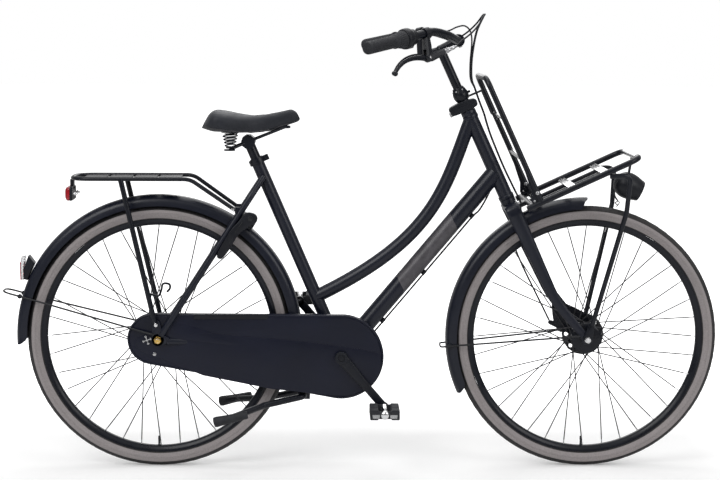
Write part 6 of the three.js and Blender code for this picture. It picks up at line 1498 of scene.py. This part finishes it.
lamp_centre, facing = steer(330, 308), V(cos(LAMP_LEAN), 0, -sin(LAMP_LEAN))
shell = lathe(Shape("black_plastic"), LAMP_SHELL, lamp_centre, facing, 56)
rim = torus(Shape("black_metal"), lamp_centre + facing * 36.4, facing, 28.4, 0.9, 56, 10)
glass = lathe(Shape("clear_lens"), LAMP_GLASS, lamp_centre, facing, 48)
mount = sweep(Shape("black_metal"), [lamp_centre, steer(393, 350.3)], bar_section(20, 4, 1.2), Y)
rod(mount, V(822.7, 30, 1001.2), V(870.3, 100, 1016.2), 3.2, 16, round_end=0.6)
rod(mount, V(870.6, 104, 1014.7), V(898.8, 104, 950.8), 1.6, 12, round_end=0.4)
wires = Shape("dark_wire")
for way, count, radius in ((LONG_WIRE, 40, 1.4), (SHORT_WIRE, 24, 1.2)):
    tube(wires, smooth_path([lamp_centre + V(*p) for p in way], count), radius, 10, round_end=0.4)
piece("lamp_body", [shell, rim, glass, mount, wires], "steering", ["headlamp"], angle=35)

# Cables. Their routes are listed point by point.

# (along, ahead) of the steering axis, down the front of the head tube
HUG = [(735, 41.5), (700, 38.5), (665, 36.5), (640, 33), (600, 29), (520, 26.5), (455, 28), (409.8, 30)]
CABLE_SLEEVE = [(0.2, 0), (4.8, 0), (5.2, 0.6), (5.2, 12), (3.6, 14), (3.4, 19), (2.6, 20), (0.2, 20)]
BAR_WAY = [
    (797, 113, 1151), (827, 80, 1173), (849, 50, 1196), (863, 27, 1217), (867, 17, 1221.5), (864, 11, 1216),
    (848, 8, 1180), (839, 7, 1138), (834, 7, 1092), (835, 7, 1050),
]
BRAKE_WAY = [
    (971.7, 30, 719.8), (975.7, 38, 691.9), (966.4, 39, 640.3), (965, 40, 583.5), (1058.1, 41.7, 392.9),
]
GEAR_WAY = [
    (652, -160, 1152), (668, -147, 1157), (690, -130, 1161), (722, -103, 1169), (748, -84, 1175),
    (770, -66, 1179),
    (791, -48, 1188), (812, -31, 1191), (828, -14, 1178), (834, -3, 1150), (830.5, 0, 1092), (832, 0, 1050),
]
CABLE_OFF, TUBE_CLIP_OFF = 30.4, 28.6


def bar_cable(side, word, ends):
    """From a brake lever up over the bar, back in a narrow loop and down in front of the head tube."""
    name = "cable_" + word
    outlet, beyond = V(752, side * 137, 1125), V(0.888, -side * 0.269, 0.372)
    first = outlet + beyond * 17.2
    sleeve = lathe(Shape("steel"), CABLE_SLEEVE, first, beyond, 20)
    way = [first + beyond * 7, first + beyond * 18] + [V(x, side * y, z) for x, y, z in BAR_WAY]
    way += [steer(along, ahead, side * 7) for along, ahead in HUG] + [V(*p) for p in ends]
    path = smooth_path(way, 130)
    cord = tube(Shape("black_plastic"), path, 2.4, 12)
    made = piece(name, cord, "steering", ["bar_cable_" + word], angle=60)
    piece(name + "_sleeve", sleeve, "steering", angle=60)


def under_tube(share, offset=CABLE_OFF):
    return down_at(share) + down_under * offset


for (side, word), ends in zip(SIDES, ((), BRAKE_WAY)):
    bar_cable(side, word, ends)
way = [V(*p) for p in GEAR_WAY] + [steer(along, ahead + 0.5) for along, ahead in HUG[:-1]]
path = smooth_path(way, 90)
cord = tube(Shape("black_plastic"), path, 2.1, 12)
piece("gear_cable", cord, "steering", angle=60)

# The cable under the down tube, and its way on to the head tube's far side.
way = [V(905, 26, 800), V(893, 22, 765), V(885, 6, 743), under_tube(0.16, 33)]
way += [under_tube(k / 100) for k in range(20, 85, 8)]
line = tube(Shape("black_plastic"), smooth_path(way, 60), 2.4, 12, round_end=0.5)
for share in (0.202, 0.513, 0.78):
    ends = [under_tube(share + reach, TUBE_CLIP_OFF) for reach in (-0.011, 0.011)]
    sweep(line, ends, bar_section(9, 9.4, 2.4), Y)
piece("cable_under_tube", line, "frame", ["frame_cable"], angle=50)

# Floor and light

FLOOR_SIZE, FLOOR_GLOW, FAR_GLOW, PLAIN_SKY, WHITE = 60, 0.25, 0.80, 0.34, (1, 1, 1)
# Place, target height, size and power, in metres and watts
AREA_LAMPS = {
    "key": ((-2.4, -3.0, 3.4), 0.5, 2.6, 95),
    "fill": ((2.8, -2.6, 2.4), 0.5, 2.2, 45),
    "top": ((0.0, 0.6, 3.8), 0.4, 3.2, 55),
    "back": ((0.4, 3.4, 2.4), 0.6, 2.4, 30),
}


def ray_kinds(g):
    """Whether the ray is a reflection, and whether the camera sees its end, also through a lens."""
    rays = g.node("ShaderNodeLightPath").outputs
    return rays["Is Glossy Ray"], g.math("MAXIMUM", rays["Is Camera Ray"], rays["Is Transmission Ray"])


bpy.ops.mesh.primitive_plane_add(size=FLOOR_SIZE, location=(0, 0, 0))
floor = bpy.context.object
floor.name = "floor"
g = Graph("floor")
_, seen = ray_kinds(g)
spot = g.node("ShaderNodeSeparateXYZ", {0: g.coordinates()}).outputs
ahead = g.math("SUBTRACT", g.math("ABSOLUTE", spot[0]), 0.6)
near = g.spread(g.math("MAXIMUM", g.math("ABSOLUTE", spot[1]), ahead), 1.0, 0.0, 0.35, 1.1)
far_glow = g.math("MULTIPLY", g.math("SUBTRACT", 1.0, near), FAR_GLOW)
level = g.math("MULTIPLY", seen, g.math("ADD", far_glow, FLOOR_GLOW))
diffuse = g.node("ShaderNodeBsdfDiffuse", {"Color": (0.80, 0.80, 0.80)})
glow = g.node("ShaderNodeEmission", {"Color": WHITE, "Strength": level})
g.surface(g.node("ShaderNodeAddShader", {0: diffuse.outputs[0], 1: glow.outputs[0]}).outputs[0])
floor.data.materials.append(g.material)

world = bpy.data.worlds.new("studio")
bpy.context.scene.world = world
world.use_nodes = True
g = Graph(tree=world.node_tree)
glossy, seen = ray_kinds(g)
way = g.node("ShaderNodeSeparateXYZ", {0: g.node("ShaderNodeTexCoord").outputs["Generated"]}).outputs
# Reflections see a white room above and behind the bike and a dim one on the camera's side.
room = g.spread(g.math("MAXIMUM", way[2], way[1]), 0.04, 0.62, 0.0, 0.80)
plain = g.math("SUBTRACT", 1.0, g.math("MAXIMUM", glossy, seen))
level = g.math("ADD", g.math("MULTIPLY", glossy, room), seen)
level = g.math("ADD", level, g.math("MULTIPLY", plain, PLAIN_SKY))
g.surface(g.node("ShaderNodeBackground", {"Color": WHITE, "Strength": level}).outputs[0])

for name, (place, height, size, power) in AREA_LAMPS.items():
    data = bpy.data.lights.new(name, "AREA")
    data.energy, data.size = power, size
    area = placed(name, data)
    area.location = place
    area.rotation_euler = (V(0, 0, height) - Vector(place)).to_track_quat("-Z", "Y").to_euler()
bpy.context.scene.view_settings.view_transform = "Standard"
